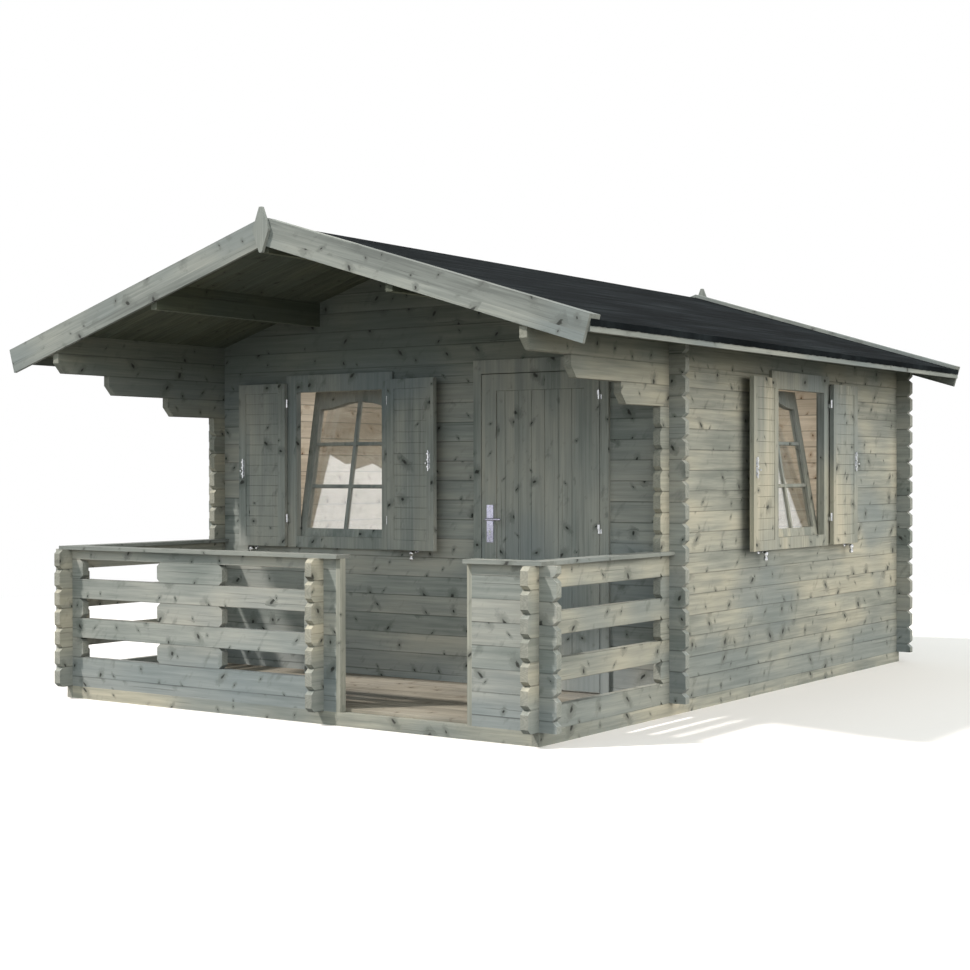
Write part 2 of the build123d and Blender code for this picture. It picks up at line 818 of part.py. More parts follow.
def windows():
    """Both windows with their shutters, each made at X 0 and stood in its wall."""
    places = {
        "front": Pos(front_window_center, front_y, 0),
        "side": Pos(half_width, front_y + cabin_depth / 2, 0) * Rot(0, 0, 90),
    }
    nodes = {}
    pins = []
    catches = []
    sash, pane = window_sash()
    for wall, place in places.items():
        nodes[f"{wall}_window_frame"] = place * window_frame()
        nodes[f"{wall}_window_sash"] = place * sash
        nodes[f"{wall}_window_glass"] = place * pane
        for hand, side in (("left", -1), ("right", 1)):
            name = f"{wall}_{hand}"
            board, moving, fixed = shutter(side)
            rest_angle = shutter_rest_angles[name]
            nodes[f"{name}_shutter"] = place * opened(board, side, rest_angle)
            hinges = [place * opened(leaf, side, rest_angle) for leaf in moving]
            nodes[f"{name}_shutter_hinges"] = Compound(children=hinges)
            pins += [place * post for post in fixed]
            catches.append(place * shutter_catch(side, catch_insets[name]))
    nodes["shutter_pins"] = Compound(children=pins)
    nodes["shutter_catches"] = Compound(children=catches)
    return nodes


def main():
    os.makedirs("parts", exist_ok=True)
    walls = (side_walls, front_walls, back_wall)
    for make in (base_and_floors, *walls, railings, railing_trim, roof, door, windows):
        for name, solid in make().items():
            export_step(solid, f"parts/{name}.step")


main()
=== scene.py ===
"""Looks of the log guest cabin: weathered wood, felt, glass and steel, and the small boards and fittings."""
import math
from types import SimpleNamespace

import bmesh
import bpy
from mathutils import Matrix, Vector, noise


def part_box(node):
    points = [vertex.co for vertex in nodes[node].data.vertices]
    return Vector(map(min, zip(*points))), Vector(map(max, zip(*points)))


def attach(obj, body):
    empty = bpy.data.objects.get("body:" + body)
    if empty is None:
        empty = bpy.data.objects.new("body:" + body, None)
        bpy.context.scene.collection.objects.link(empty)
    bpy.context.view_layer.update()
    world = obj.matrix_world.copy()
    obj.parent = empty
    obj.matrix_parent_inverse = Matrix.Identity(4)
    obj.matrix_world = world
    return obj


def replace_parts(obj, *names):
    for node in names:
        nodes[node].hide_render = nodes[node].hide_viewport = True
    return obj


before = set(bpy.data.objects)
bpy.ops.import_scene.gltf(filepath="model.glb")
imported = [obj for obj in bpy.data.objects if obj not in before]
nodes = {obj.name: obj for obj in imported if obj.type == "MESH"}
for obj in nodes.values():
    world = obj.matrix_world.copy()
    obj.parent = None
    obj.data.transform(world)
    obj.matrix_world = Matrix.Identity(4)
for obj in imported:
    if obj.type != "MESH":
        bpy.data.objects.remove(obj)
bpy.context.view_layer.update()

# Driving sizes of the cabin, in metres, as in the part's source
LOG_HEIGHT = 0.114
LOG_THICKNESS = 0.044
SIDE_COURSES = 18
BASE_HEIGHT = 0.070
FLOOR_THICKNESS = 0.018
HALF_WIDTH = 1.650
CABIN_DEPTH = 3.300
VERANDA_DEPTH = 1.285
FRONT_Y = -1.054
EAVE_TRIM = 0.016
EAVE_REACH = 0.330
ROOF_PAST_RAIL = 0.102
ROOF_PAST_BACK = 0.195
ROOF_PITCH = math.radians(17.0)
ROOF_BOARD = 0.018
FASCIA = 0.018
FELT_LIP = 0.029
FRONT_WINDOW_X = -0.6402
SIDE_WINDOW_Y = 0.596

# Levels and places that follow from them
FLOOR_TOP = BASE_HEIGHT + FLOOR_THICKNESS
FLOOR_INNER = HALF_WIDTH - LOG_THICKNESS
RAIL_Y = FRONT_Y - VERANDA_DEPTH
BACK_Y = FRONT_Y + CABIN_DEPTH
ROOF_FRONT_Y = RAIL_Y - ROOF_PAST_RAIL
ROOF_BACK_Y = BACK_Y + ROOF_PAST_BACK
EAVE_X = HALF_WIDTH + EAVE_REACH
EAVE_HEIGHT = BASE_HEIGHT + SIDE_COURSES * LOG_HEIGHT - EAVE_TRIM

# Boards of the floors and the roof
CABIN_BOARDS = 34
CABIN_PITCH = 2 * FLOOR_INNER / CABIN_BOARDS
VERANDA_BOARDS = 13
VERANDA_FRONT_Y = RAIL_Y + LOG_THICKNESS
VERANDA_PITCH = (FRONT_Y - VERANDA_FRONT_Y) / VERANDA_BOARDS
ROOF_BOARDS = 51
ROOF_BOARD_PITCH = (ROOF_BACK_Y - ROOF_FRONT_Y) / ROOF_BOARDS

# Directions
X_AXIS, Y_AXIS, Z_AXIS = (1.0, 0.0, 0.0), (0.0, 1.0, 0.0), (0.0, 0.0, 1.0)
DOWN_SLOPE = (math.cos(ROOF_PITCH), 0.0, -math.sin(ROOF_PITCH))
FACE_ACROSS, SIDE_ACROSS, END_ACROSS = (1.0, 1.0, 0.0), (1.0, 0.0, 1.0), (0.0, 1.0, 1.0)
SLOPE_ACROSS = (math.sin(ROOF_PITCH), 1.0, math.cos(ROOF_PITCH))
LEFT_AND_RIGHT = (("left", -1), ("right", 1))


def srgb(red, green, blue):
    """A colour written in screen values, as linear numbers."""
    def linear(value):
        share = value / 255
        return share / 12.92 if share <= 0.04045 else ((share + 0.055) / 1.055) ** 2.4
    return (linear(red), linear(green), linear(blue), 1.0)


class Nodes:
    """One material's node tree, with short calls for the nodes it needs."""

    def __init__(self, name):
        self.material = bpy.data.materials.new(name)
        self.material.use_nodes = True
        self.tree = self.material.node_tree
        self.shader = next(n for n in self.tree.nodes if n.type == "BSDF_PRINCIPLED")

    def feed(self, socket, value):
        """Link a socket to another one, or set it to a number."""
        if isinstance(value, bpy.types.NodeSocket):
            self.tree.links.new(value, socket)
        else:
            socket.default_value = value

    def math(self, operation, *values, clamp=False):
        node = self.tree.nodes.new("ShaderNodeMath")
        node.operation = operation
        node.use_clamp = clamp
        for socket, value in zip(node.inputs, values):
            self.feed(socket, value)
        return node.outputs[0]

    def vector(self, operation, *values):
        node = self.tree.nodes.new("ShaderNodeVectorMath")
        node.operation = operation
        for socket, value in zip(node.inputs, values):
            self.feed(socket, value)
        number = operation in ("DOT_PRODUCT", "LENGTH")
        return node.outputs["Value" if number else "Vector"]

    def combine(self, x, y, z):
        node = self.tree.nodes.new("ShaderNodeCombineXYZ")
        for socket, value in zip(node.inputs, (x, y, z)):
            self.feed(socket, value)
        return node.outputs[0]

    def split(self, vector):
        node = self.tree.nodes.new("ShaderNodeSeparateXYZ")
        self.feed(node.inputs[0], vector)
        return node.outputs

    def place(self):
        return self.tree.nodes.new("ShaderNodeTexCoord").outputs["Object"]

    def normal(self):
        return self.tree.nodes.new("ShaderNodeNewGeometry").outputs["True Normal"]

    def noise(self, vector, scale=1.0, detail=2.0, rough=0.5):
        node = self.tree.nodes.new("ShaderNodeTexNoise")
        self.feed(node.inputs["Vector"], vector)
        node.inputs["Scale"].default_value = scale
        node.inputs["Detail"].default_value = detail
        node.inputs["Roughness"].default_value = rough
        return node.outputs["Fac"]

    def random(self, seed):
        """Three random numbers that hang on one seed."""
        node = self.tree.nodes.new("ShaderNodeTexWhiteNoise")
        node.noise_dimensions = "1D"
        self.feed(node.inputs["W"], seed)
        return self.split(node.outputs["Color"])

    def cells(self, vector):
        """Centre of the nearest cell, and three random numbers of it."""
        node = self.tree.nodes.new("ShaderNodeTexVoronoi")
        node.voronoi_dimensions = "2D"
        node.feature = "F1"
        self.feed(node.inputs["Vector"], vector)
        node.inputs["Scale"].default_value = 1.0
        return node.outputs["Position"], self.split(node.outputs["Color"])

    def spread(self, value, low, high, out_low=0.0, out_high=1.0):
        """value from low..high, spread smoothly over out_low..out_high and held there."""
        node = self.tree.nodes.new("ShaderNodeMapRange")
        node.interpolation_type = "SMOOTHSTEP"
        for name, number in (("Value", value), ("From Min", low), ("From Max", high),
                             ("To Min", out_low), ("To Max", out_high)):
            self.feed(node.inputs[name], number)
        return node.outputs[0]

    def mix(self, share, first, second, blend="MIX"):
        node = self.tree.nodes.new("ShaderNodeMix")
        node.data_type = "RGBA"
        node.blend_type = blend
        self.feed(node.inputs["Factor"], share)
        colours = [s for s in node.inputs if s.type == "RGBA"]
        self.feed(colours[0], first)
        self.feed(colours[1], second)
        return next(s for s in node.outputs if s.type == "RGBA")

    def ramp(self, value, stops):
        node = self.tree.nodes.new("ShaderNodeValToRGB")
        band = node.color_ramp
        while len(band.elements) < len(stops):
            band.elements.new(0.5)
        for element, (place, colour) in zip(band.elements, stops):
            element.position = place
            element.color = colour
        self.feed(node.inputs[0], value)
        return node.outputs["Color"]

    def grey(self, value):
        node = self.tree.nodes.new("ShaderNodeCombineColor")
        for socket in node.inputs:
            self.feed(socket, value)
        return node.outputs[0]

    def bump(self, height, distance, strength):
        node = self.tree.nodes.new("ShaderNodeBump")
        node.inputs["Strength"].default_value = strength
        node.inputs["Distance"].default_value = distance
        self.feed(node.inputs["Height"], height)
        self.tree.links.new(node.outputs["Normal"], self.shader.inputs["Normal"])

    def surface(self, colour, roughness, metallic=0.0, alpha=1.0, specular=0.5):
        self.feed(self.shader.inputs["Base Color"], colour)
        self.feed(self.shader.inputs["Roughness"], roughness)
        self.shader.inputs["Metallic"].default_value = metallic
        self.shader.inputs["Alpha"].default_value = alpha
        self.shader.inputs["Specular IOR Level"].default_value = specular


# Colours of the wood
TONE_STOPS = (0.28, 0.45, 0.58, 0.74)


def wood_palette(tones, blue, knot, stain, end):
    """Tones from dark to light, and the colours of weather, knots, their stain and end grain."""
    ramp = [(stop, srgb(*tone)) for stop, tone in zip(TONE_STOPS, tones)]
    return SimpleNamespace(tones=ramp, blue=srgb(*blue), knot=srgb(*knot), stain=srgb(*stain), end=srgb(*end))


WEATHERED = wood_palette(
    tones=((130, 131, 123), (153, 151, 140), (171, 165, 149), (184, 175, 156)),
    blue=(126, 132, 131), knot=(42, 42, 39), stain=(92, 93, 87), end=(146, 143, 133),
)
PALE = wood_palette(
    tones=((113, 115, 111), (130, 132, 127), (141, 142, 136), (151, 150, 142)),
    blue=(118, 124, 124), knot=(46, 46, 43), stain=(94, 95, 91), end=(120, 120, 114),
)
# Painted shade: a cooler copy of the weathered palette, for the logs across the cabin and the front door,
# window and shutters, which stand in shade
SHADED = wood_palette(
    tones=((127, 131, 126), (148, 149, 143), (161, 159, 151), (173, 168, 157)),
    blue=(128, 135, 137), knot=(42, 42, 39), stain=(90, 94, 89), end=(143, 143, 134),
)
BARE = wood_palette(
    tones=((172, 160, 143), (187, 176, 159), (197, 187, 171), (205, 196, 181)),
    blue=(182, 173, 159), knot=(92, 70, 52), stain=(152, 130, 106), end=(162, 144, 123),
)
DECK = wood_palette(
    tones=((113, 106, 95), (131, 124, 112), (144, 136, 123), (155, 147, 134)),
    blue=(122, 120, 115), knot=(58, 47, 38), stain=(100, 87, 74), end=(124, 113, 100),
)
# Painted shade: a dark palette that paints the shade under the roof onto its boards and purlins
CEILING = wood_palette(
    tones=((70, 74, 61), (82, 85, 70), (91, 93, 77), (101, 102, 86)),
    blue=(80, 86, 77), knot=(30, 30, 25), stain=(60, 62, 52), end=(96, 97, 86),
)
# Painted shade: the darker colour the logs take under the roof
PAINTED_ROOF_SHADE = srgb(92, 97, 85)

# Random seeds of the boards, and how far they shift the grain and the knots along them
ROW_SEED, LAYER_SEED, SLOPE_SEED = 0.731, 5.17, 2.9
GRAIN_SHIFT, KNOT_SHIFT = 31.0, 17.0
WOBBLE_NOISE = (55.0, 3.0, 0.6)


def wood_lay(n, along, across, boards, mirror):
    """A point's place in its board: along, across and into it, with random numbers of that board."""
    pitch, start = boards
    place = n.place()
    lay, slope = place, 0.0
    if mirror:
        x, y, z = n.split(place)
        slope = n.math("LESS_THAN", x, 0.0)
        lay = n.combine(n.math("ABSOLUTE", x), y, z)
    inward = tuple(Vector(along).cross(Vector(across)))
    u, v, w = [n.vector("DOT_PRODUCT", lay, axis) for axis in (along, across, inward)]
    rows = n.math("DIVIDE", n.math("SUBTRACT", v, start), pitch)
    seed = n.math("MULTIPLY", n.math("FLOOR", rows), ROW_SEED)
    seed = n.math("MULTIPLY_ADD", n.math("ROUND", w), LAYER_SEED, seed)
    seed = n.math("ADD", seed, n.math("MULTIPLY", slope, SLOPE_SEED))
    first, second, third = n.random(seed)
    run = n.math("MULTIPLY_ADD", first, GRAIN_SHIFT, u)
    shifted = n.combine(run, v, w)
    wobble = n.noise(shifted, *WOBBLE_NOISE)
    return SimpleNamespace(place=place, along=along, pitch=pitch, u=u, v=v, w=w, rows=rows, run=run,
                           shifted=shifted, wobble=wobble, second=second, third=third)


# Knots: radius in metres, raggedness, slant, and the edges of core and halo as shares of the radius
KNOT_RADIUS, KNOT_GROWTH, KNOT_RARITY = 0.0034, 0.0095, 2.5
KNOT_RAGGED = (1.7, 0.15)
KNOT_SLANT, KNOT_FLATNESS = 0.85, 0.68
CORE_EDGES, HALO_EDGES = (1.25, 0.5), (5.0, 0.9)


def wood_knots(n, lay, share, spacing):
    """Knots in cells along each board, slanted and of many sizes."""
    cell_u = n.math("MULTIPLY_ADD", lay.second, KNOT_SHIFT, n.math("DIVIDE", lay.u, spacing))
    cell = n.combine(cell_u, lay.rows, 0.0)
    centre, chance = n.cells(cell)
    off = n.vector("MULTIPLY", n.vector("SUBTRACT", cell, centre), (spacing, lay.pitch, 0.0))
    off_u, off_v, _ = n.split(off)
    slant = n.math("MULTIPLY_ADD", chance[2], 2 * KNOT_SLANT, -KNOT_SLANT)
    lean_u = n.math("MULTIPLY_ADD", off_v, slant, off_u)
    lean = n.combine(lean_u, n.math("MULTIPLY", off_v, KNOT_FLATNESS), 0.0)
    ragged = n.math("MULTIPLY_ADD", lay.wobble, *KNOT_RAGGED)
    far = n.math("MULTIPLY", n.vector("LENGTH", lean), ragged)
    there = n.math("LESS_THAN", chance[1], share)
    radius = n.math("MULTIPLY_ADD", n.math("POWER", chance[0], KNOT_RARITY), KNOT_GROWTH, KNOT_RADIUS)

    def disc(edges):
        outer, inner = [n.math("MULTIPLY", radius, edge) for edge in edges]
        return n.math("MULTIPLY", there, n.spread(far, outer, inner))

    return SimpleNamespace(core=disc(CORE_EDGES), halo=disc(HALO_EDGES), side=n.math("SIGN", off_v))


# Grain: how its noises are stretched along, across and into the board
GRAIN_BOW = -0.010
SMUDGE_LEAN, SMUDGE_ACROSS = -0.55, 0.6
SMUDGE_NOISE, SMUDGE_EDGES = (13.0, 3.0, 0.6), (0.585, 0.76)
PATCH_STRETCH = (0.9, 3.2, 3.2)
PATCH_SHIFT = (11.9, 2.6, 3.3)
FIELD_ALONG, FIELD_ACROSS, FIELD_DETAIL = 1.1, 2.6, 3.0
STREAK_STRETCH, STREAK_DETAIL, STREAK_ROUGH = (2.0, 42.0, 42.0), 4.0, 0.62
FINE_STRETCH = (7.0, 300.0, 300.0)
CRACK_STRETCH, CRACK_DETAIL, CRACK_EDGES = (1.4, 95.0, 95.0), 1.0, (0.70, 0.75)


def wood_grain(n, lay, knots):
    """Noises of the grain, which runs along the board and bows round its knots; smudges lie askew in it."""
    bow = n.math("MULTIPLY", knots.halo, n.math("MULTIPLY", knots.side, GRAIN_BOW))
    bent = n.combine(lay.run, n.math("ADD", lay.v, bow), lay.w)
    skew_u = n.math("MULTIPLY_ADD", lay.v, SMUDGE_LEAN, lay.run)
    skew = n.combine(skew_u, n.math("MULTIPLY", lay.v, SMUDGE_ACROSS), lay.w)
    spots = n.combine(n.math("MULTIPLY", lay.u, FIELD_ALONG), n.math("MULTIPLY", lay.v, FIELD_ACROSS), lay.w)
    checks = n.noise(n.vector("MULTIPLY", bent, CRACK_STRETCH), detail=CRACK_DETAIL)
    return SimpleNamespace(
        smudge=n.spread(n.noise(skew, *SMUDGE_NOISE), *SMUDGE_EDGES),
        patch=n.noise(n.vector("MULTIPLY", lay.shifted, PATCH_STRETCH)),
        field=n.noise(n.vector("ADD", spots, PATCH_SHIFT), detail=FIELD_DETAIL),
        streak=n.noise(n.vector("MULTIPLY", bent, STREAK_STRETCH), detail=STREAK_DETAIL, rough=STREAK_ROUGH),
        fine=n.noise(n.vector("MULTIPLY", bent, FINE_STRETCH)),
        crack=n.spread(checks, *CRACK_EDGES),
    )


# How far each noise and each board's own luck moves the tone
FIELD_TONE, PATCH_TONE, BOARD_TONE, STREAK_TONE = 0.95, (0.55, -0.25), 0.22, 0.50
NOISE_MIDDLE = 0.5


def wood_tone(n, lay, grain, contrast):
    """How light the wood is, in fields and patches, from board to board and along the streaks."""
    tone = n.math("MULTIPLY_ADD", grain.field, FIELD_TONE, n.math("MULTIPLY_ADD", grain.patch, *PATCH_TONE))
    luck = n.math("MULTIPLY_ADD", lay.third, BOARD_TONE * contrast, -BOARD_TONE / 2 * contrast)
    streak = n.math("SUBTRACT", grain.streak, NOISE_MIDDLE)
    return n.math("MULTIPLY_ADD", streak, STREAK_TONE * contrast, n.math("ADD", tone, luck))


# Weather: blue-grey patches and splashed wood near the ground, and painted shade that darkens the wood under
# the roof, by level in metres
WEATHER_SCALE, WEATHER_LUCK = 0.85, 0.10
BLUE_EDGES, BLUE_SHARE = (0.50, 0.66), 0.75
SPLASH_BLUR, SPLASH_LEVELS, SPLASH_SHARE = 0.5, (0.66, 0.40), 0.60
ROOF_SHADE_BLUR, ROOF_SHADE_LEVELS, ROOF_SHADE_SHARE = 0.3, (1.90, 2.20), 0.60
SKIN_MARGIN = 0.0005
INNER_SKIN = LOG_THICKNESS - SKIN_MARGIN


def weather_and_painted_shade_colour(n, lay, grain, tone, palette, contrast, lined):
    """Colour of the outer faces. On log walls it also hangs on the height over the ground, and paints shade
    under the roof.
    """
    weather = n.noise(n.vector("ADD", lay.place, PATCH_SHIFT), WEATHER_SCALE)
    weather = n.math("MULTIPLY_ADD", lay.third, WEATHER_LUCK * contrast, weather)
    blue = n.math("MULTIPLY", n.spread(weather, *BLUE_EDGES), BLUE_SHARE)
    colour = n.ramp(tone, palette.tones)
    if not lined:
        return n.mix(blue, colour, palette.blue)
    level = n.split(lay.place)[2]
    splash = n.spread(n.math("MULTIPLY_ADD", grain.field, SPLASH_BLUR, level), *SPLASH_LEVELS)
    blue = n.math("MAXIMUM", blue, n.math("MULTIPLY", splash, SPLASH_SHARE))
    # Painted shade: the logs darken towards the roof, above the given levels
    roof_shade = n.spread(n.math("MULTIPLY_ADD", grain.field, ROOF_SHADE_BLUR, level), *ROOF_SHADE_LEVELS)
    colour = n.mix(blue, colour, palette.blue)
    return n.mix(n.math("MULTIPLY", roof_shade, ROOF_SHADE_SHARE), colour, PAINTED_ROOF_SHADE)


def inside_faces(n, place):
    """1 on the faces of the walls inside the cabin, and 0 elsewhere."""
    x, y, _ = n.split(place)
    inside = n.math("LESS_THAN", n.math("ABSOLUTE", x), HALF_WIDTH - INNER_SKIN)
    inside = n.math("MULTIPLY", inside, n.math("GREATER_THAN", y, FRONT_Y + INNER_SKIN))
    return n.math("MULTIPLY", inside, n.math("LESS_THAN", y, BACK_Y - INNER_SKIN))


# End grain: where a face counts as an end, where the heart lies, and the rings round it
END_EDGES, END_SHARE = (0.55, 0.9), 0.60
HEART_PLACE = (0.8, 0.1)
RING_FLATNESS, RING_WAVER, RING_DENSITY = 0.3, 5.0, 900.0


def end_grain(n, lay):
    """How far a face is an end of the board, and the rings that show there."""
    facing = n.math("ABSOLUTE", n.vector("DOT_PRODUCT", n.normal(), lay.along))
    ends = n.spread(facing, *END_EDGES)
    heart = n.math("MULTIPLY_ADD", lay.second, *HEART_PLACE)
    ring_v = n.math("MULTIPLY", n.math("SUBTRACT", n.math("FRACT", lay.rows), heart), lay.pitch)
    ring_w = n.math("SUBTRACT", n.math("FRACT", lay.w), 0.5)
    away = n.vector("LENGTH", n.combine(ring_v, n.math("MULTIPLY", ring_w, RING_FLATNESS), 0.0))
    waver = n.math("MULTIPLY_ADD", lay.wobble, RING_WAVER, n.math("MULTIPLY", away, RING_DENSITY))
    return ends, n.math("SINE", waver)


# Shade of streaks, fine grain, cracks and rings, painted shade at the joints, and the width of a joint in
# metres
STREAK_SHADE, FINE_SHADE, BOARD_SHADE = (0.44, 0.80), (0.24, 0.88), 0.14
CRACK_SHADE, RING_SHADE = 0.30, (0.06, -0.02)
JOINT_EDGES = (0.0050, 0.0016)
JOINT_NOISE, JOINT_FADE = (2.3, 3.0), (0.38, 0.60, 0.45, 1.25)


def wood_shade(n, lay, grain, contrast, ends, rings, seam):
    """What the colour is multiplied by; seam is how much painted shade darkens the joints between the boards.
    """
    luck = n.math("MULTIPLY_ADD", lay.second, BOARD_SHADE * contrast, 1.0 - BOARD_SHADE / 2 * contrast)
    ringed = n.math("MULTIPLY_ADD", rings, *RING_SHADE)
    shade = n.math("MULTIPLY_ADD", grain.streak, *STREAK_SHADE)
    shade = n.math("MULTIPLY", shade, n.math("MULTIPLY_ADD", grain.fine, *FINE_SHADE))
    shade = n.math("MULTIPLY", shade, luck)
    shade = n.math("MULTIPLY", shade, n.math("MULTIPLY_ADD", grain.crack, -CRACK_SHADE, 1.0))
    shade = n.math("MULTIPLY", shade, n.math("MULTIPLY_ADD", ends, ringed, 1.0))
    if not seam:
        return shade
    # Painted shade along the joints: the wood darkens near each seam, as the groove between the boards lies
    # in shade
    part = n.math("FRACT", lay.rows)
    edge = n.math("MULTIPLY", n.math("MINIMUM", part, n.math("SUBTRACT", 1.0, part)), lay.pitch)
    fade = n.spread(n.noise(lay.shifted, *JOINT_NOISE), *JOINT_FADE)
    joint = n.math("MULTIPLY", n.spread(edge, *JOINT_EDGES), fade)
    return n.math("MULTIPLY", shade, n.math("MULTIPLY_ADD", joint, -seam, 1.0))


# Shares of the smudges and knots, and the relief and gloss of the sawn face
SMUDGE_SHARE, CORE_SHARE = 0.42, 0.90
STREAK_RELIEF, FINE_RELIEF, CORE_RELIEF, CRACK_RELIEF = 0.6, 0.35, 0.25, 0.6
WOOD_BUMP = (0.0016, 0.55)
WOOD_ROUGHNESS, WOOD_SPECULAR = (0.3, 0.7, 0.86, 0.68), 0.28


def wood(name, along, across, boards, palette=WEATHERED, mirror=False, seam=0.0, knots=0.72,
         knot_spacing=0.19, contrast=1.0, lined=False):
    """Sawn wood with its grain along one direction, in boards or logs of one pitch from a start on.

    boards is that pitch and start, mirror takes both roof slopes as one, seam darkens the joints by so much
    with painted shade, knots is the share of cells that hold one, contrast scales how much the boards differ,
    and lined gives the faces inside the cabin the colour of bare wood.
    """
    n = Nodes(name)
    lay = wood_lay(n, along, across, boards, mirror)
    knot = wood_knots(n, lay, knots, knot_spacing)
    grain = wood_grain(n, lay, knot)
    tone = wood_tone(n, lay, grain, contrast)
    colour = weather_and_painted_shade_colour(n, lay, grain, tone, palette, contrast, lined)
    stain_colour, knot_colour = palette.stain, palette.knot
    if lined:
        inside = inside_faces(n, lay.place)
        colour = n.mix(inside, colour, n.ramp(tone, BARE.tones))
        stain_colour = n.mix(inside, stain_colour, BARE.stain)
        knot_colour = n.mix(inside, knot_colour, BARE.knot)
    stain = n.math("MULTIPLY", knot.halo, grain.streak, clamp=True)
    stain = n.math("MULTIPLY_ADD", grain.smudge, SMUDGE_SHARE, stain, clamp=True)
    ends, rings = end_grain(n, lay)
    colour = n.mix(stain, colour, stain_colour)
    colour = n.mix(n.math("MULTIPLY", knot.core, CORE_SHARE), colour, knot_colour)
    colour = n.mix(n.math("MULTIPLY", ends, END_SHARE), colour, palette.end)
    shade = wood_shade(n, lay, grain, contrast, ends, rings, seam)
    colour = n.mix(1.0, colour, n.grey(shade), "MULTIPLY")
    raised = n.math("MULTIPLY_ADD", grain.streak, STREAK_RELIEF, n.math("MULTIPLY", grain.fine, FINE_RELIEF))
    sunk = n.math("MULTIPLY_ADD", knot.core, CORE_RELIEF, n.math("MULTIPLY", grain.crack, CRACK_RELIEF))
    n.bump(n.math("SUBTRACT", raised, sunk), *WOOD_BUMP)
    n.surface(colour, n.spread(grain.streak, *WOOD_ROUGHNESS), specular=WOOD_SPECULAR)
    return n.material


# Felt: its noises, the slant of its streaks, its tones, and the paler grit and specks
FELT_GRIT, FELT_SPECKS, FELT_STREAKS = (420.0, 2.0, 0.6), (260.0, 2.0, 0.7), (1.0, 5.0, 0.7)
FELT_CLOUD = (1.1, 3.0)
FELT_SLANT, FELT_ACROSS, FELT_ALONG = 1.3, 19.0, 0.9
FELT_STREAK_TONE, FELT_CLOUD_TONE = 0.75, 0.25
FELT_TONES = [(0.36, srgb(11, 13, 14)), (0.50, srgb(21, 24, 26)), (0.64, srgb(41, 45, 47))]
GRIT_EDGES, GRIT_SHARE, GRIT_COLOUR = (0.50, 0.72), 0.4, srgb(45, 49, 51)
SPECK_EDGES, SPECK_SHARE, SPECK_COLOUR = (0.64, 0.74), 0.5, srgb(74, 78, 79)
FELT_STREAK_RELIEF, FELT_BUMP = 0.8, (0.002, 0.7)
FELT_ROUGHNESS, FELT_SPECULAR = (0.3, 0.7, 0.98, 0.88), 0.02


def felt_material():
    """Mineral roofing felt: dark grit, with streaks along the roof and paler worn specks."""
    n = Nodes("roof_felt")
    place = n.place()
    x, y, _ = n.split(place)
    grit = n.noise(place, *FELT_GRIT)
    specks = n.noise(place, *FELT_SPECKS)
    drift = n.math("MULTIPLY_ADD", y, FELT_SLANT, n.math("MULTIPLY", n.math("ABSOLUTE", x), FELT_ACROSS))
    streaks = n.noise(n.combine(drift, n.math("MULTIPLY", y, FELT_ALONG), 0.0), *FELT_STREAKS)
    cloud = n.noise(place, *FELT_CLOUD)
    tone = n.math("MULTIPLY_ADD", streaks, FELT_STREAK_TONE, n.math("MULTIPLY", cloud, FELT_CLOUD_TONE))
    colour = n.ramp(tone, FELT_TONES)
    colour = n.mix(n.math("MULTIPLY", n.spread(grit, *GRIT_EDGES), GRIT_SHARE), colour, GRIT_COLOUR)
    colour = n.mix(n.math("MULTIPLY", n.spread(specks, *SPECK_EDGES), SPECK_SHARE), colour, SPECK_COLOUR)
    n.bump(n.math("ADD", grit, n.math("MULTIPLY", streaks, FELT_STREAK_RELIEF)), *FELT_BUMP)
    n.surface(colour, n.spread(grit, *FELT_ROUGHNESS), specular=FELT_SPECULAR)
    return n.material


# Metal: brushed along Z and clouded
BRUSH_STRETCH = (300.0, 300.0, 22.0)
STEEL_CLOUD, STEEL_CLOUD_EDGES, STEEL_BUMP = 45.0, (0.35, 0.7), (0.0002, 0.25)
STEEL_LIGHT, STEEL_DARK = srgb(226, 228, 230), srgb(196, 199, 203)
STEEL_ROUGHNESS = (0.3, 0.7, 0.16, 0.30)


def steel_material():
    """Bright zinc-plated steel of hinges, bolts and holdbacks, faintly brushed and clouded."""
    n = Nodes("bright_steel")
    place = n.place()
    brushed = n.noise(n.vector("MULTIPLY", place, BRUSH_STRETCH))
    cloud = n.noise(place, STEEL_CLOUD)
    colour = n.mix(n.spread(cloud, *STEEL_CLOUD_EDGES), STEEL_LIGHT, STEEL_DARK)
    n.bump(brushed, *STEEL_BUMP)
    n.surface(colour, n.spread(brushed, *STEEL_ROUGHNESS), metallic=1.0)
    return n.material


SATIN_CLOUD, SATIN_CLOUD_EDGES = 60.0, (0.3, 0.7)
SATIN_FINE, SATIN_FINE_DETAIL, SATIN_BUMP = 900.0, 1.0, (0.0001, 0.2)
SATIN_LIGHT, SATIN_DARK = srgb(208, 208, 226), srgb(190, 190, 210)
SATIN_ROUGHNESS = (0.3, 0.7, 0.20, 0.30)


def satin_material():
    """Pale satin metal of the door's handle plates and lever."""
    n = Nodes("handle_satin")
    place = n.place()
    cloud = n.noise(place, SATIN_CLOUD)
    fine = n.noise(place, SATIN_FINE, SATIN_FINE_DETAIL)
    colour = n.mix(n.spread(cloud, *SATIN_CLOUD_EDGES), SATIN_LIGHT, SATIN_DARK)
    n.bump(fine, *SATIN_BUMP)
    n.surface(colour, n.spread(fine, *SATIN_ROUGHNESS), metallic=1.0)
    return n.material


DUST_NOISE, DUST_EDGES = (9.0, 4.0, 0.6), (0.35, 0.75)
PANE_CLEAN, PANE_DUSTY = srgb(250, 252, 251), srgb(236, 241, 238)
PANE_ROUGHNESS, PANE_ALPHA = (0.3, 0.8, 0.010, 0.035), 0.31


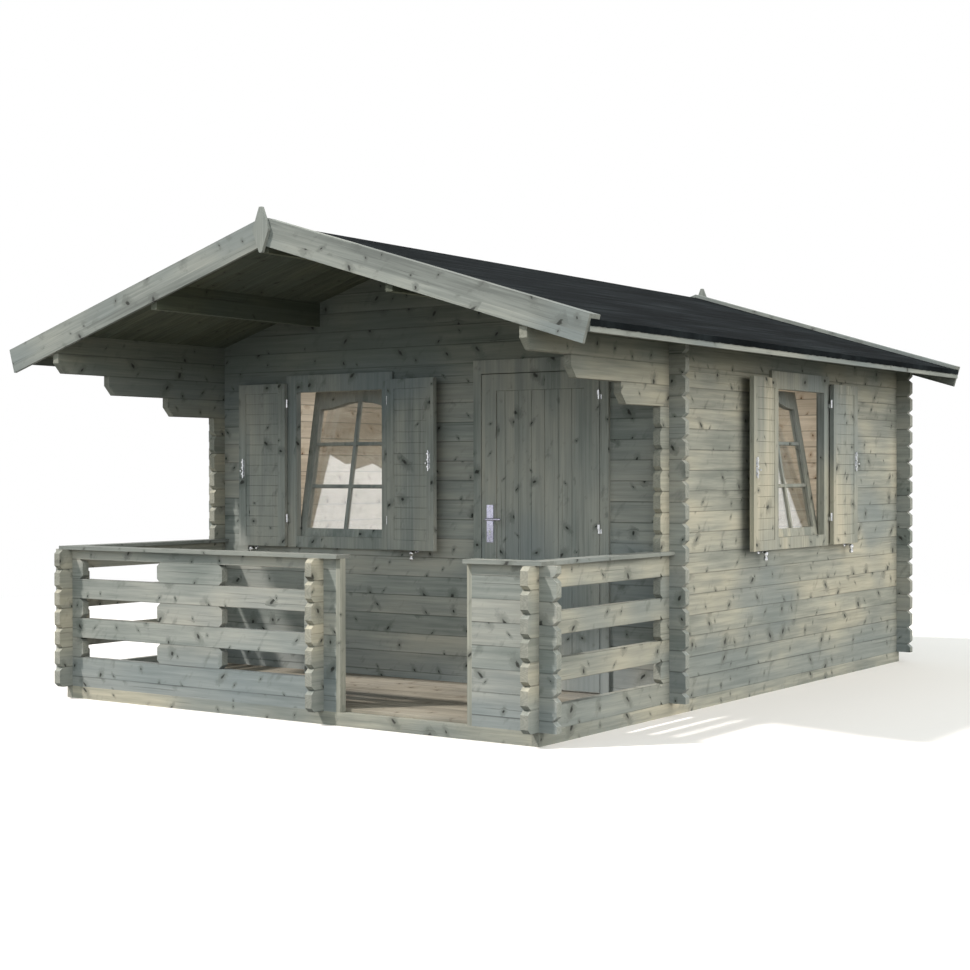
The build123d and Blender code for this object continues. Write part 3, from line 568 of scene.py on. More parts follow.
def glass_material():
    """Window pane that mirrors the sky in part and lets the room show through, with a trace of dust."""
    n = Nodes("window_glass")
    dust = n.noise(n.place(), *DUST_NOISE)
    colour = n.mix(n.spread(dust, *DUST_EDGES), PANE_CLEAN, PANE_DUSTY)
    n.surface(colour, n.spread(dust, *PANE_ROUGHNESS), metallic=1.0, alpha=PANE_ALPHA)
    return n.material


KEYHOLE_NOISE, KEYHOLE_DARK, KEYHOLE_LIGHT = 400.0, srgb(26, 26, 27), srgb(48, 48, 50)
KEYHOLE_ROUGHNESS, KEYHOLE_METAL = (0.3, 0.7, 0.45, 0.65), 0.6


def keyhole_shade_material():
    """Painted shade of the key slots: dark metal standing in for the hollow of each slot."""
    n = Nodes("keyhole_painted_shade")
    fine = n.noise(n.place(), KEYHOLE_NOISE)
    colour = n.mix(fine, KEYHOLE_DARK, KEYHOLE_LIGHT)
    n.surface(colour, n.spread(fine, *KEYHOLE_ROUGHNESS), metallic=KEYHOLE_METAL)
    return n.material


# Pitch and start of the boards in each wood; the front and back walls start half a log lower than the sides
FRONT_LOGS = (LOG_HEIGHT, BASE_HEIGHT - LOG_HEIGHT / 2)
SIDE_LOGS = (LOG_HEIGHT, BASE_HEIGHT)
UPRIGHTS, SLATS, FINIALS = (0.103, 0.0), (0.118, 0.03), (0.180, 0.05)
BARGEBOARDS, TRIM, PURLINS, BEARERS = (0.1491, -0.013), (0.120, 0.84), (0.200, 1.9), (0.100, -0.01)
ROOFING = (ROOF_BOARD_PITCH, ROOF_FRONT_Y)
CABIN_FLOOR = (CABIN_PITCH, -FLOOR_INNER)
VERANDA_FLOOR = (VERANDA_PITCH, VERANDA_FRONT_Y)

# Looks that several woods share
# seam: painted shade along the joints between the logs
LOG_LOOK = {"seam": 0.34, "contrast": 0.75, "lined": True}
UPRIGHT_LOOK = {"knots": 0.5, "contrast": 0.45}
TRIM_LOOK = {"contrast": 0.4}
FEW_KNOTS = {"knots": 0.5}

# The logs across the cabin take the SHADED palette: painted shade
logs_x = wood("logs_across", X_AXIS, Z_AXIS, FRONT_LOGS, SHADED, **LOG_LOOK)
logs_y = wood("logs_along", Y_AXIS, Z_AXIS, SIDE_LOGS, **LOG_LOOK)
# Lit and shaded copies: the front door, window and shutters take the SHADED palette with painted shade, the
# side window, shutters and entrance boards the weathered one
upright = wood("boards_upright", Z_AXIS, FACE_ACROSS, UPRIGHTS, SHADED, **UPRIGHT_LOOK)
slats = wood("slats_upright", Z_AXIS, FACE_ACROSS, SLATS, SHADED, **UPRIGHT_LOOK)
side_upright = wood("side_boards_upright", Z_AXIS, FACE_ACROSS, UPRIGHTS, **UPRIGHT_LOOK)
side_slats = wood("side_slats_upright", Z_AXIS, FACE_ACROSS, SLATS, **UPRIGHT_LOOK)
finial = wood("finials_upright", Z_AXIS, FACE_ACROSS, FINIALS, PALE, knots=0.3, contrast=0.4)
barge = wood("bargeboards_sloping", DOWN_SLOPE, SLOPE_ACROSS, BARGEBOARDS, PALE, mirror=True, knots=0.85,
             knot_spacing=0.16)
strips_y = wood("trim_along", Y_AXIS, SIDE_ACROSS, TRIM, PALE, **TRIM_LOOK)
strips_x = wood("trim_across", X_AXIS, END_ACROSS, TRIM, PALE, **TRIM_LOOK)
# Ceiling boards and purlins take the dark CEILING palette: painted shade
ceiling = wood("ceiling_boards", DOWN_SLOPE, Y_AXIS, ROOFING, CEILING, mirror=True, **FEW_KNOTS)
purlin = wood("purlins", Y_AXIS, SIDE_ACROSS, PURLINS, CEILING)
deck = wood("floor_boards", Y_AXIS, X_AXIS, CABIN_FLOOR, DECK, **FEW_KNOTS)
veranda_deck = wood("veranda_boards", X_AXIS, Y_AXIS, VERANDA_FLOOR, DECK, **FEW_KNOTS)
base_y = wood("bearers_along", Y_AXIS, Z_AXIS, BEARERS)
base_x = wood("bearers_across", X_AXIS, Z_AXIS, BEARERS)
felt = felt_material()
steel = steel_material()
satin = satin_material()
glass = glass_material()
dark = keyhole_shade_material()

FINISHES = {
    logs_x: ("front_wall_left", "front_wall_right", "front_gable", "back_wall", "front_railing_left",
             "front_railing_right"),
    logs_y: ("left_wall", "right_wall", "left_railing", "right_railing", "entrance_stack"),
    upright: ("door_frame", "door_leaf", "front_window_frame", "front_window_sash"),
    side_upright: ("side_window_frame", "side_window_sash", "entrance_end_boards"),
    finial: ("finials",),
    slats: ("front_left_shutter", "front_right_shutter"),
    side_slats: ("side_left_shutter", "side_right_shutter"),
    barge: ("left_bargeboards", "right_bargeboards", "left_verge_strips", "right_verge_strips"),
    strips_y: ("eave_fascias", "side_railing_caps"),
    strips_x: ("front_railing_caps",),
    ceiling: ("roof_boards_left", "roof_boards_right"),
    purlin: ("ridge_purlin", "side_purlins"),
    deck: ("cabin_floor",),
    veranda_deck: ("veranda_floor",),
    base_y: ("left_bearer", "right_bearer"),
    base_x: ("cross_bearers",),
    felt: ("roof_felt_left", "roof_felt_right"),
    steel: ("door_frame_hinges", "door_leaf_hinges", "front_left_shutter_hinges",
            "front_right_shutter_hinges", "side_left_shutter_hinges", "side_right_shutter_hinges",
            "shutter_pins", "shutter_catches"),
    satin: ("door_handle_plates", "door_lever"),
    glass: ("front_window_glass", "side_window_glass"),
}
for material, names in FINISHES.items():
    for name in names:
        slots = nodes[name].data.materials
        slots.clear()
        slots.append(material)

# Sides of turned solids
ROUND, ROUND_SMALL, ROUND_ROD = 20, 16, 14


def piece(name, bm, material, body, smooth=False):
    """Turn a bmesh into a piece that rides on a body."""
    bmesh.ops.recalc_face_normals(bm, faces=bm.faces)
    for face in bm.faces:
        face.smooth = smooth
    mesh = bpy.data.meshes.new(name)
    bm.to_mesh(mesh)
    bm.free()
    mesh.materials.append(material)
    made = bpy.data.objects.new(name, mesh)
    bpy.context.scene.collection.objects.link(made)
    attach(made, body)
    return made


def board(bm, low, high, bevel, place=Matrix.Identity(4)):
    """A board between two corners of a local frame, with eased edges."""
    low, high = Vector(low), Vector(high)
    scale = Matrix.Diagonal((*(high - low), 1.0))
    made = bmesh.ops.create_cube(bm, size=1.0, matrix=Matrix.Translation((low + high) / 2) @ scale)
    edges = list(dict.fromkeys(edge for vertex in made["verts"] for edge in vertex.link_edges))
    before = set(bm.verts) - set(made["verts"])
    bmesh.ops.bevel(bm, geom=edges, offset=bevel, segments=2, profile=0.5, affect="EDGES")
    bmesh.ops.transform(bm, matrix=place, verts=[vertex for vertex in bm.verts if vertex not in before])


def lathe(bm, profile, place, steps=ROUND):
    """A turned solid from (radius, height) points about the local Z axis."""
    rings = []
    for radius, height in profile:
        ring = []
        for step in range(steps):
            angle = 2 * math.pi * step / steps
            point = Vector((radius * math.cos(angle), radius * math.sin(angle), height))
            ring.append(bm.verts.new(place @ point))
        rings.append(ring)
    for lower, upper in zip(rings, rings[1:]):
        for step in range(steps):
            after = (step + 1) % steps
            bm.faces.new((lower[step], lower[after], upper[after], upper[step]))
    bm.faces.new(list(reversed(rings[0])))
    bm.faces.new(rings[-1])


# Floors of separate boards
FLOOR_JOINT, FLOOR_EASE = 0.0006, 0.0016


def floor_board(bm, x0, x1, y0, y1):
    low = (x0 + FLOOR_JOINT, y0 + FLOOR_JOINT, BASE_HEIGHT)
    board(bm, low, (x1 - FLOOR_JOINT, y1 - FLOOR_JOINT, FLOOR_TOP), FLOOR_EASE)


def veranda_boards():
    """Boards along the front, the first ones cut round the stack beside the entrance."""
    bm = bmesh.new()
    stack_low, stack_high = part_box("entrance_stack")
    for number in range(VERANDA_BOARDS):
        y0 = VERANDA_FRONT_Y + number * VERANDA_PITCH
        y1 = y0 + VERANDA_PITCH
        cut = min(max(stack_high.y, y0), y1)
        if cut > y0:
            floor_board(bm, -FLOOR_INNER, stack_low.x, y0, cut)
            floor_board(bm, stack_high.x, FLOOR_INNER, y0, cut)
        if cut < y1:
            floor_board(bm, -FLOOR_INNER, FLOOR_INNER, cut, y1)
    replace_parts(piece("veranda_floor_boards", bm, veranda_deck, "cabin"), "veranda_floor")


def cabin_boards():
    """Boards from the front of the room to its back."""
    bm = bmesh.new()
    for number in range(CABIN_BOARDS):
        x0 = -FLOOR_INNER + number * CABIN_PITCH
        floor_board(bm, x0, x0 + CABIN_PITCH, FRONT_Y + LOG_THICKNESS, BACK_Y - LOG_THICKNESS)
    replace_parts(piece("cabin_floor_boards", bm, deck, "cabin"), "cabin_floor")


veranda_boards()
cabin_boards()

# Roof boards
ROOF_JOINT, ROOF_EASE = 0.0004, 0.0022


def slope_frame(side, lift):
    """Frame on one slope of the roof: down the slope, along the roof, and straight up."""
    ridge = EAVE_HEIGHT + HALF_WIDTH * math.tan(ROOF_PITCH)
    return Matrix((
        (side * math.cos(ROOF_PITCH), 0.0, 0.0, 0.0),
        (0.0, 1.0, 0.0, 0.0),
        (-math.sin(ROOF_PITCH), 0.0, 1.0 / math.cos(ROOF_PITCH), ridge + lift / math.cos(ROOF_PITCH)),
        (0.0, 0.0, 0.0, 1.0),
    ))


def roof_boards(hand, side):
    bm = bmesh.new()
    place = slope_frame(side, 0.0)
    run = EAVE_X / math.cos(ROOF_PITCH)
    for number in range(ROOF_BOARDS):
        y0 = ROOF_FRONT_Y + number * ROOF_BOARD_PITCH
        y1 = y0 + ROOF_BOARD_PITCH
        board(bm, (0.0, y0 + ROOF_JOINT, 0.0), (run, y1 - ROOF_JOINT, ROOF_BOARD), ROOF_EASE, place)
    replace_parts(piece(f"ceiling_boards_{hand}", bm, ceiling, "cabin"), f"roof_boards_{hand}")


for hand, side in LEFT_AND_RIGHT:
    roof_boards(hand, side)

# Felt sheets: their thickness, the waves in them and the ragged edge
FELT_LIFT = 0.0002
FELT_THICKNESS = 0.0022
FELT_WRAP = 0.0046
FELT_OUT = FELT_WRAP / math.cos(ROOF_PITCH)
FELT_STEPS, FELT_COLUMNS = 36, 260
RIPPLE, RIPPLE_DOWN, RIPPLE_ALONG, RIPPLE_SEED = 0.0009, 9.0, 1.6, 9.0
RAGGED, RAGGED_ALONG, RAGGED_SEED, RAGGED_MARGIN = 0.007, 31.0, 7.0, 0.001


def felt_sheet(hand, side):
    """Felt on one slope, faintly rippled, turned down over the fascia with a ragged edge."""
    bm = bmesh.new()
    place = slope_frame(side, ROOF_BOARD)
    run = (EAVE_X + FASCIA) / math.cos(ROOF_PITCH)
    under, over = [], []
    for column in range(FELT_COLUMNS + 1):
        y = ROOF_FRONT_Y + (ROOF_BACK_Y - ROOF_FRONT_Y) * column / FELT_COLUMNS
        low, high = [], []
        for step in range(FELT_STEPS + 1):
            s = run * step / FELT_STEPS
            wave = noise.noise(Vector((s * RIPPLE_DOWN, y * RIPPLE_ALONG, side * RIPPLE_SEED)))
            out = s if step < FELT_STEPS else run + FELT_OUT
            top = FELT_LIFT + FELT_THICKNESS + RIPPLE * (1 + wave)
            low.append(bm.verts.new(place @ Vector((s, y, FELT_LIFT))))
            high.append(bm.verts.new(place @ Vector((out, y, top))))
        tear = abs(noise.noise(Vector((y * RAGGED_ALONG, side * RAGGED_SEED, 1.0))))
        fall = FELT_LIP - RAGGED_MARGIN - RAGGED * tear
        low.append(bm.verts.new(place @ Vector((run + FELT_LIFT, y, -fall))))
        high.append(bm.verts.new(place @ Vector((run + FELT_OUT, y, -fall))))
        under.append(low)
        over.append(high)
    last = FELT_STEPS + 1
    for a in range(FELT_COLUMNS):
        b = a + 1
        for c in range(last):
            bm.faces.new((over[a][c], over[a][c + 1], over[b][c + 1], over[b][c]))
            bm.faces.new((under[a][c], under[b][c], under[b][c + 1], under[a][c + 1]))
        bm.faces.new((over[a][0], over[b][0], under[b][0], under[a][0]))
        bm.faces.new((over[a][last], under[a][last], under[b][last], over[b][last]))
    for rows, lows in ((over[0], under[0]), (over[-1], under[-1])):
        for c in range(last):
            bm.faces.new((rows[c], lows[c], lows[c + 1], rows[c + 1]))
    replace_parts(piece(f"felt_sheet_{hand}", bm, felt, "cabin"), f"roof_felt_{hand}")


for hand, side in LEFT_AND_RIGHT:
    felt_sheet(hand, side)

# Door boards on both faces of the leaf; the first one is narrower, and the last takes what is left
STILE, BOTTOM_RAIL, TOP_RAIL, DOOR_RECESS = 0.100, 0.150, 0.095, 0.011
DOOR_FIRST_BOARD, DOOR_BOARD, DOOR_LAST_BOARD = 0.058, 0.090, 0.120
DOOR_BOARD_RISE, DOOR_BOARD_SINK = 0.005, 0.0005
DOOR_JOINT, DOOR_END_GAP, DOOR_EASE = 0.0008, 0.0005, 0.0028


def door_boards():
    bm = bmesh.new()
    leaf_low, leaf_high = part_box("door_leaf")
    x0, x1 = leaf_low.x + STILE, leaf_high.x - STILE
    z0, z1 = leaf_low.z + BOTTOM_RAIL + DOOR_END_GAP, leaf_high.z - TOP_RAIL - DOOR_END_GAP
    joints = [x0, x0 + DOOR_FIRST_BOARD]
    while joints[-1] + DOOR_LAST_BOARD < x1:
        joints.append(joints[-1] + DOOR_BOARD)
    joints.append(x1)
    for face, inward in ((leaf_low.y, 1), (leaf_high.y, -1)):
        back = face + inward * (DOOR_RECESS + DOOR_BOARD_SINK)
        front = face + inward * (DOOR_RECESS - DOOR_BOARD_RISE)
        near, far = sorted((back, front))
        for left, right in zip(joints, joints[1:]):
            board(bm, (left + DOOR_JOINT, near, z0), (right - DOOR_JOINT, far, z1), DOOR_EASE)
    piece("door_panel_boards", bm, upright, "door")


# Lock under the lever: the cylinder's round head, its narrow body below, the key slot as a dark piece that
# paints the shade of its hollow, and the plates' screws
LOCK_HEIGHT = 0.062
LOCK_HEAD = [(0.0085, -0.001), (0.0085, 0.0022), (0.0078, 0.0030)]
LOCK_BODY_HALF, LOCK_BODY_LEVELS = 0.005, (-0.020, -0.004)
LOCK_BODY_RISE, LOCK_BODY_MARGIN, LOCK_BODY_EASE = 0.0026, 0.0002, 0.0010
SLOT_HALF_WIDTH, SLOT_HALF_HEIGHT, SLOT_TOP, SLOT_EASE = 0.0009, 0.0052, 0.0034, 0.0002
SCREW_INSET = 0.013
SCREW_HEAD = [(0.0042, -0.0008), (0.0042, 0.0004), (0.0033, 0.0013), (0.0012, 0.0016)]


def door_lock():
    """Cylinder with a key slot under the lever, and the plates' screws, on both faces."""
    barrel, slots, screws = bmesh.new(), bmesh.new(), bmesh.new()
    plate_low, plate_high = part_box("door_handle_plates")
    x = (plate_low.x + plate_high.x) / 2
    z = plate_low.z + LOCK_HEIGHT
    for face, outward in ((plate_low.y, -1), (plate_high.y, 1)):
        turn = Matrix.Rotation(outward * -math.pi / 2, 4, "X")
        body_face = face + outward * LOCK_BODY_RISE
        lathe(barrel, LOCK_HEAD, Matrix.Translation((x, face, z)) @ turn)
        low_y, high_y = min(face, body_face) - LOCK_BODY_MARGIN, max(face, body_face) + LOCK_BODY_MARGIN
        low_z, high_z = [z + level for level in LOCK_BODY_LEVELS]
        board(barrel, (x - LOCK_BODY_HALF, low_y, low_z),
              (x + LOCK_BODY_HALF, high_y, high_z), LOCK_BODY_EASE)
        low_y, high_y = sorted((body_face, face + outward * SLOT_TOP))
        board(slots, (x - SLOT_HALF_WIDTH, low_y, z - SLOT_HALF_HEIGHT),
              (x + SLOT_HALF_WIDTH, high_y, z + SLOT_HALF_HEIGHT), SLOT_EASE)
        for level in (plate_low.z + SCREW_INSET, plate_high.z - SCREW_INSET):
            lathe(screws, SCREW_HEAD, Matrix.Translation((x, face, level)) @ turn, ROUND_SMALL)
    piece("door_lock_cylinders", barrel, steel, "door")
    # The slots are dark pieces proud of the cylinder: painted shade of the key holes
    piece("door_lock_slots", slots, dark, "door")
    piece("handle_plate_screws", screws, steel, "door", smooth=True)


door_boards()
door_lock()

# Glazing bars, in the frame of the tipped sash: one upright and two cross bars
SASH_TILT = math.radians(10.3)
SASH_FOOT = Vector((0.0, 0.0232, 0.903))
SASH_INNER, SASH_SILL, SASH_CROWN = 0.3045, 0.068, 0.870
BAR_NEAR, BAR_FAR, BAR_EASE = 0.0065, 0.0315, 0.005
UPRIGHT_BAR_HALF, UPRIGHT_BAR_FOOT, UPRIGHT_BAR_HEAD = 0.0125, 0.004, 0.003
CROSS_BAR_HALF, CROSS_BAR_END, CROSS_BAR_INSET = 0.0115, 0.004, 0.001
CROSS_BAR_SHARES = (1 / 3, 2 / 3)


def window_place(wall):
    """Frame of a window: along its wall, into the cabin, and up."""
    if wall == "front":
        return Matrix.Translation((FRONT_WINDOW_X, FRONT_Y, 0.0))
    return Matrix.Translation((HALF_WIDTH, SIDE_WINDOW_Y, 0.0)) @ Matrix.Rotation(math.pi / 2, 4, "Z")


def glazing_bars(wall):
    bm = bmesh.new()
    place = window_place(wall) @ Matrix.Translation(SASH_FOOT) @ Matrix.Rotation(-SASH_TILT, 4, "X")
    foot = (-UPRIGHT_BAR_HALF, BAR_NEAR, SASH_SILL - UPRIGHT_BAR_FOOT)
    head = (UPRIGHT_BAR_HALF, BAR_FAR, SASH_CROWN + UPRIGHT_BAR_HEAD)
    board(bm, foot, head, BAR_EASE, place)
    reach = SASH_INNER + CROSS_BAR_END
    for share in CROSS_BAR_SHARES:
        z = SASH_SILL + share * (SASH_CROWN - SASH_SILL)
        low = (-reach, BAR_NEAR + CROSS_BAR_INSET, z - CROSS_BAR_HALF)
        high = (reach, BAR_FAR - CROSS_BAR_INSET, z + CROSS_BAR_HALF)
        board(bm, low, high, BAR_EASE, place)
    finish = upright if wall == "front" else side_upright
    piece(f"{wall}_glazing_bars", bm, finish, "cabin")


for wall in ("front", "side"):
    glazing_bars(wall)

# Shutters: their hinge axes, boards, frames and the angle in degrees at which each one rests
SHUTTER_AXIS_U = 0.3985
SHUTTER_AXIS_DEPTH = 0.0415
SHUTTER_Z = (0.855, 1.871)
SHUTTER_GAP, SHUTTER_WIDTH, SHUTTER_HALF = 0.008, 0.3845, 0.0135
SHUTTER_FRAME, SHUTTER_RECESS = 0.058, 0.006
SHUTTER_BOARDS, SHUTTER_JOINT, SHUTTER_END_GAP, SHUTTER_EASE = 14, 0.0006, 0.0005, 0.0021
SHUTTER_BOARD_SINK, SHUTTER_BOARD_RISE = 0.0005, 0.0036
REST_ANGLES = {("front", -1): 0.0, ("front", 1): 7.0, ("side", -1): 4.0, ("side", 1): 0.0}


def shutter_place(wall, side):
    """Frame at a shutter's hinge axis: along the open shutter, out from its outer face, and up."""
    angle = math.radians(REST_ANGLES[(wall, side)])
    along = Vector((side * math.cos(angle), -math.sin(angle), 0.0))
    out = Vector((side * along.y, -side * along.x, 0.0))
    turn = Matrix((
        (along.x, out.x, 0.0, side * SHUTTER_AXIS_U),
        (along.y, out.y, 0.0, -SHUTTER_AXIS_DEPTH),
        (0.0, 0.0, 1.0, 0.0),
        (0.0, 0.0, 0.0, 1.0),
    ))
    return window_place(wall) @ turn


def shutter_boards(wall, hand, side):
    """Narrow boards across the shutter, set in its frame on both faces."""
    bm = bmesh.new()
    place = shutter_place(wall, side)
    s0 = SHUTTER_GAP + SHUTTER_FRAME + SHUTTER_END_GAP
    s1 = SHUTTER_GAP + SHUTTER_WIDTH - SHUTTER_FRAME - SHUTTER_END_GAP
    z0, z1 = SHUTTER_Z[0] + SHUTTER_FRAME, SHUTTER_Z[1] - SHUTTER_FRAME
    pitch = (z1 - z0) / SHUTTER_BOARDS
    panel = SHUTTER_HALF - SHUTTER_RECESS
    for face in (-1, 1):
        near, far = sorted((face * (panel - SHUTTER_BOARD_SINK), face * (panel + SHUTTER_BOARD_RISE)))
        for number in range(SHUTTER_BOARDS):
            z = z0 + number * pitch
            high = (s1, far, z + pitch - SHUTTER_JOINT)
            board(bm, (s0, near, z + SHUTTER_JOINT), high, SHUTTER_EASE, place)
    finish = slats if wall == "front" else side_slats
    piece(f"{wall}_{hand}_shutter_boards", bm, finish, f"{wall}_{hand}_shutter")


# Slide bolts: plate, rod, staples and grip, in a frame on the shutter's face
BOLT_ALONG = 0.355
BOLT_LIFTS = {-1: -0.020, 1: 0.022}
PLATE_HALF_WIDTH, PLATE_HALF_HEIGHT = 0.009, 0.052
PLATE_SINK, PLATE_RISE, PLATE_EASE = 0.0006, 0.0018, 0.0006
ROD_OUT = 0.0075
ROD_PROFILE = [(0.0030, -0.064), (0.0046, -0.062), (0.0046, 0.060), (0.0030, 0.062)]
STAPLE_LEVELS, STAPLE_HALF_HEIGHT = (-0.036, 0.004, 0.040), 0.0045
STAPLE_INNER, STAPLE_OUTER = 0.0052, 0.0078
STAPLE_FOOT, STAPLE_SHOULDER, STAPLE_EASE = 0.0012, 0.0118, 0.0006
BRIDGE_FOOT, BRIDGE_TOP, BRIDGE_EASE = 0.0116, 0.0138, 0.0008
GRIP_LEVEL = -0.016
GRIP_PROFILE = [(0.0036, 0.0), (0.0036, 0.012), (0.0055, 0.015), (0.0060, 0.019), (0.0042, 0.022)]


def slide_bolt(wall, hand, side):
    """Flat plate with a round bolt in staples, bent into a short grip, on the shutter's free stile."""
    bm = bmesh.new()
    lift = sum(SHUTTER_Z) / 2 + BOLT_LIFTS[side]
    place = shutter_place(wall, side) @ Matrix.Translation((BOLT_ALONG, SHUTTER_HALF, lift))
    board(bm, (-PLATE_HALF_WIDTH, -PLATE_SINK, -PLATE_HALF_HEIGHT),
          (PLATE_HALF_WIDTH, PLATE_RISE, PLATE_HALF_HEIGHT), PLATE_EASE, place)
    rod = place @ Matrix.Translation((0.0, ROD_OUT, 0.0))
    lathe(bm, ROD_PROFILE, rod, ROUND_SMALL)
    for level in STAPLE_LEVELS:
        z0, z1 = level - STAPLE_HALF_HEIGHT, level + STAPLE_HALF_HEIGHT
        for left, right in ((-STAPLE_OUTER, -STAPLE_INNER), (STAPLE_INNER, STAPLE_OUTER)):
            board(bm, (left, STAPLE_FOOT, z0), (right, STAPLE_SHOULDER, z1), STAPLE_EASE, place)
        board(bm, (-STAPLE_OUTER, BRIDGE_FOOT, z0), (STAPLE_OUTER, BRIDGE_TOP, z1), BRIDGE_EASE, place)
    grip = rod @ Matrix.Translation((0.0, 0.0, GRIP_LEVEL)) @ Matrix.Rotation(-math.pi / 2, 4, "X")
    lathe(bm, GRIP_PROFILE, grip, ROUND_SMALL)
    piece(f"{wall}_{hand}_shutter_bolt", bm, steel, f"{wall}_{hand}_shutter")


for wall in ("front", "side"):
    for hand, side in LEFT_AND_RIGHT:
        shutter_boards(wall, hand, side)
        slide_bolt(wall, hand, side)

# Shutter holdbacks: rose on the wall, rod, and a hanging drop of two lobes
CATCH_PLACES = {"front": (-0.691, 0.586), "side": (-0.566, 0.699)}
CATCH_Z, CATCH_REACH, CATCH_ROD = 0.844, 0.048, 0.0040
CATCH_ROSE = [(0.0140, 0.0), (0.0140, 0.0026), (0.0118, 0.0040)]
CATCH_DROP = [(0.0020, -0.0535), (0.0075, -0.0520), (0.0125, -0.0455), (0.0135, -0.0385), (0.0110, -0.0310),
              (0.0072, -0.0265), (0.0076, -0.0240), (0.0132, -0.0180), (0.0158, -0.0095), (0.0142, -0.0015),
              (0.0092, 0.0038), (0.0030, 0.0054)]


def holdbacks():
    bm = bmesh.new()
    for wall, places in CATCH_PLACES.items():
        for u in places:
            foot = window_place(wall) @ Matrix.Translation((u, 0.0, CATCH_Z))
            outward = foot @ Matrix.Rotation(math.pi / 2, 4, "X")
            lathe(bm, CATCH_ROSE, outward)
            lathe(bm, [(CATCH_ROD, 0.0), (CATCH_ROD, CATCH_REACH)], outward, ROUND_ROD)
            lathe(bm, CATCH_DROP, foot @ Matrix.Translation((0.0, -CATCH_REACH, 0.0)))
    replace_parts(piece("shutter_holdbacks", bm, steel, "cabin", smooth=True), "shutter_catches")


holdbacks()

# Floor, light, background and camera
STAGE_REACH, STAGE_ROUGHNESS = 60.0, 0.9
STAGE_COLOUR, STAGE_DIM = srgb(247, 239, 236), srgb(112, 112, 108)
STAGE_FADE = (4.5, 9.0)
SKY_COLOUR, SKY_STRENGTH = (0.84, 0.975, 1.0, 1.0), 0.76
WHITE = (1.0, 1.0, 1.0, 1.0)
WARM_LIGHT, WARM_FILL, COOL_FILL = (1.0, 0.97, 0.92), (1.0, 0.96, 0.88), (0.86, 0.98, 1.0)
ROOM_LIGHT_SIZE, ROOM_LIGHT_POWER, ROOM_LIGHT_Z = 2.4, 50.0, 2.05
CAMERA_LENS, CAMERA_SENSOR = 64.05, 36.0
CAMERA_PLACE = (6.14327, -9.24345, 1.30774)
CAMERA_DIP, CAMERA_ROLL, CAMERA_HEADING = 0.0066, 0.0013, 0.6082


def seen_directly(tree):
    """1 on rays that come from the camera, straight or by way of metal and glass."""
    path = tree.nodes.new("ShaderNodeLightPath")
    share = path.outputs["Is Camera Ray"]
    for name in ("Is Glossy Ray", "Is Transmission Ray"):
        either = tree.nodes.new("ShaderNodeMath")
        either.operation = "MAXIMUM"
        tree.links.new(share, either.inputs[0])
        tree.links.new(path.outputs[name], either.inputs[1])
        share = either.outputs[0]
    return share


def blended(tree, share, first, second):
    """Two shaders mixed by a share."""
    node = tree.nodes.new("ShaderNodeMixShader")
    tree.links.new(share, node.inputs[0])
    tree.links.new(first, node.inputs[1])
    tree.links.new(second, node.inputs[2])
    return node.outputs[0]


def studio_floor():
    """Pale floor that fades into the white background, and throws little light back at the cabin."""
    mesh = bpy.data.meshes.new("studio_floor")
    corners = [(x * STAGE_REACH, y * STAGE_REACH, 0.0) for x, y in ((-1, -1), (1, -1), (1, 1), (-1, 1))]
    mesh.from_pydata(corners, [], [(0, 1, 2, 3)])
    n = Nodes("studio_floor")
    n.surface(STAGE_COLOUR, STAGE_ROUGHNESS, specular=0.0)
    glow = n.tree.nodes.new("ShaderNodeEmission")
    dim = n.tree.nodes.new("ShaderNodeBsdfDiffuse")
    dim.inputs["Color"].default_value = STAGE_DIM
    away = n.spread(n.vector("LENGTH", n.place()), *STAGE_FADE)
    pale = blended(n.tree, away, n.shader.outputs[0], glow.outputs[0])
    floor = blended(n.tree, seen_directly(n.tree), dim.outputs[0], pale)
    output = next(node for node in n.tree.nodes if node.type == "OUTPUT_MATERIAL")
    n.tree.links.new(floor, output.inputs["Surface"])
    mesh.materials.append(n.material)
    made = bpy.data.objects.new("studio_floor", mesh)
    bpy.context.scene.collection.objects.link(made)


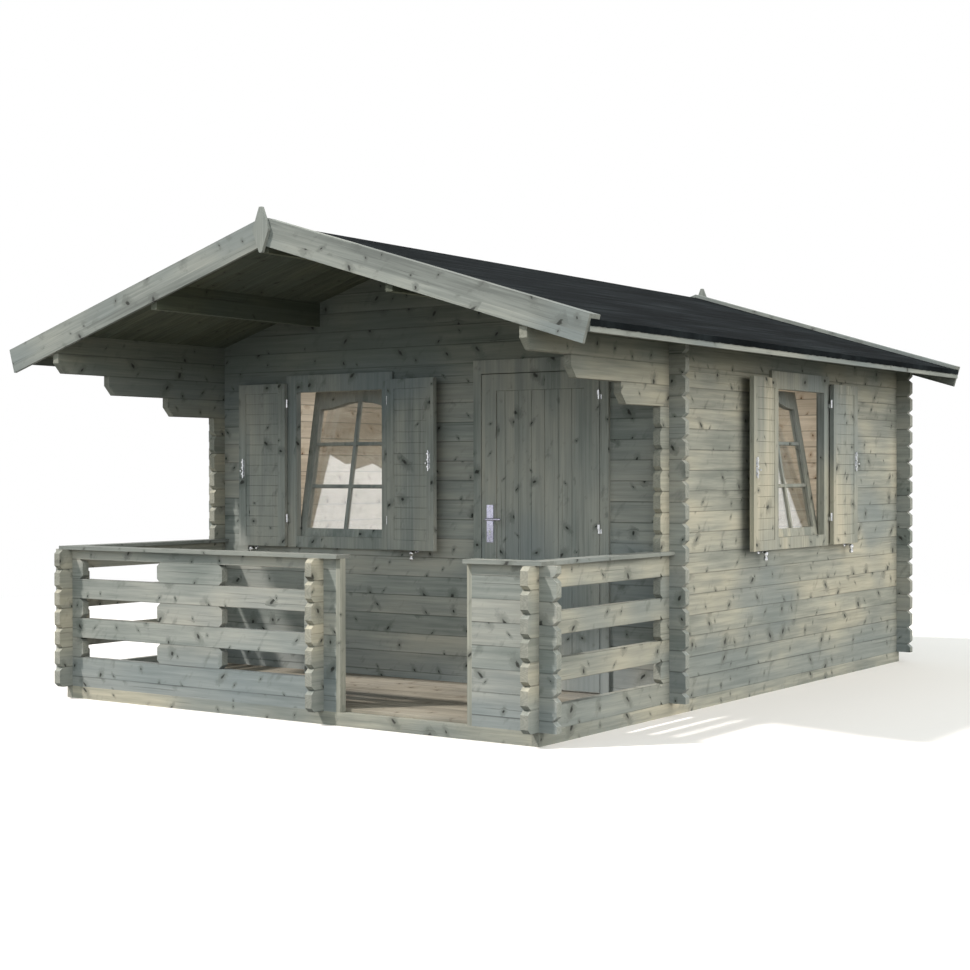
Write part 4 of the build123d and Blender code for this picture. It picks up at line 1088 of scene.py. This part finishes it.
def studio_world():
    """Soft sky light, with plain white where the camera sees it."""
    world = bpy.data.worlds.new("studio_white")
    bpy.context.scene.world = world
    world.use_nodes = True
    tree = world.node_tree
    plain = tree.nodes["Background"]
    plain.inputs["Color"].default_value = SKY_COLOUR
    plain.inputs["Strength"].default_value = SKY_STRENGTH
    seen = tree.nodes.new("ShaderNodeBackground")
    seen.inputs["Color"].default_value = WHITE
    seen.inputs["Strength"].default_value = 1.0
    sky = blended(tree, seen_directly(tree), plain.outputs[0], seen.outputs[0])
    tree.links.new(sky, tree.nodes["World Output"].inputs["Surface"])


def sun(name, toward, strength, softness, colour, mirrored=True):
    """Light from far away; a broad fill isn't mirrored, or its disc would fill the panes."""
    lamp = bpy.data.lights.new(name, "SUN")
    lamp.energy = strength
    lamp.angle = math.radians(softness)
    lamp.color = colour
    made = bpy.data.objects.new(name, lamp)
    made.rotation_mode = "QUATERNION"
    made.rotation_quaternion = Vector(toward).to_track_quat("Z", "Y")
    made.visible_glossy = mirrored
    bpy.context.scene.collection.objects.link(made)


def room_light():
    """Soft light inside the cabin, so that the room shows through its windows."""
    lamp = bpy.data.lights.new("room_light", "AREA")
    lamp.shape = "RECTANGLE"
    lamp.size, lamp.size_y = ROOM_LIGHT_SIZE, ROOM_LIGHT_SIZE
    lamp.energy = ROOM_LIGHT_POWER
    lamp.color = WARM_LIGHT
    made = bpy.data.objects.new("room_light", lamp)
    made.location = (0.0, (FRONT_Y + BACK_Y) / 2, ROOM_LIGHT_Z)
    bpy.context.scene.collection.objects.link(made)


def photo_camera():
    """Camera at the photograph's viewing angle."""
    lens = bpy.data.cameras.new("photo_camera")
    lens.lens = CAMERA_LENS
    lens.sensor_width = CAMERA_SENSOR
    made = bpy.data.objects.new("photo_camera", lens)
    made.location = CAMERA_PLACE
    made.rotation_euler = (math.pi / 2 - CAMERA_DIP, CAMERA_ROLL, CAMERA_HEADING)
    bpy.context.scene.collection.objects.link(made)
    bpy.context.scene.camera = made


studio_floor()
studio_world()
sun("key_sun", toward=(-0.435, -0.491, 0.755), strength=3.4, softness=3.5, colour=WARM_LIGHT)
sun("side_fill", toward=(0.90, 0.16, 0.40), strength=2.5, softness=70.0, colour=WARM_FILL, mirrored=False)
sun("front_fill", toward=(0.45, -0.84, 0.30), strength=0.42, softness=50.0, colour=COOL_FILL, mirrored=False)
room_light()
photo_camera()
bpy.context.scene.view_settings.view_transform = "Standard"
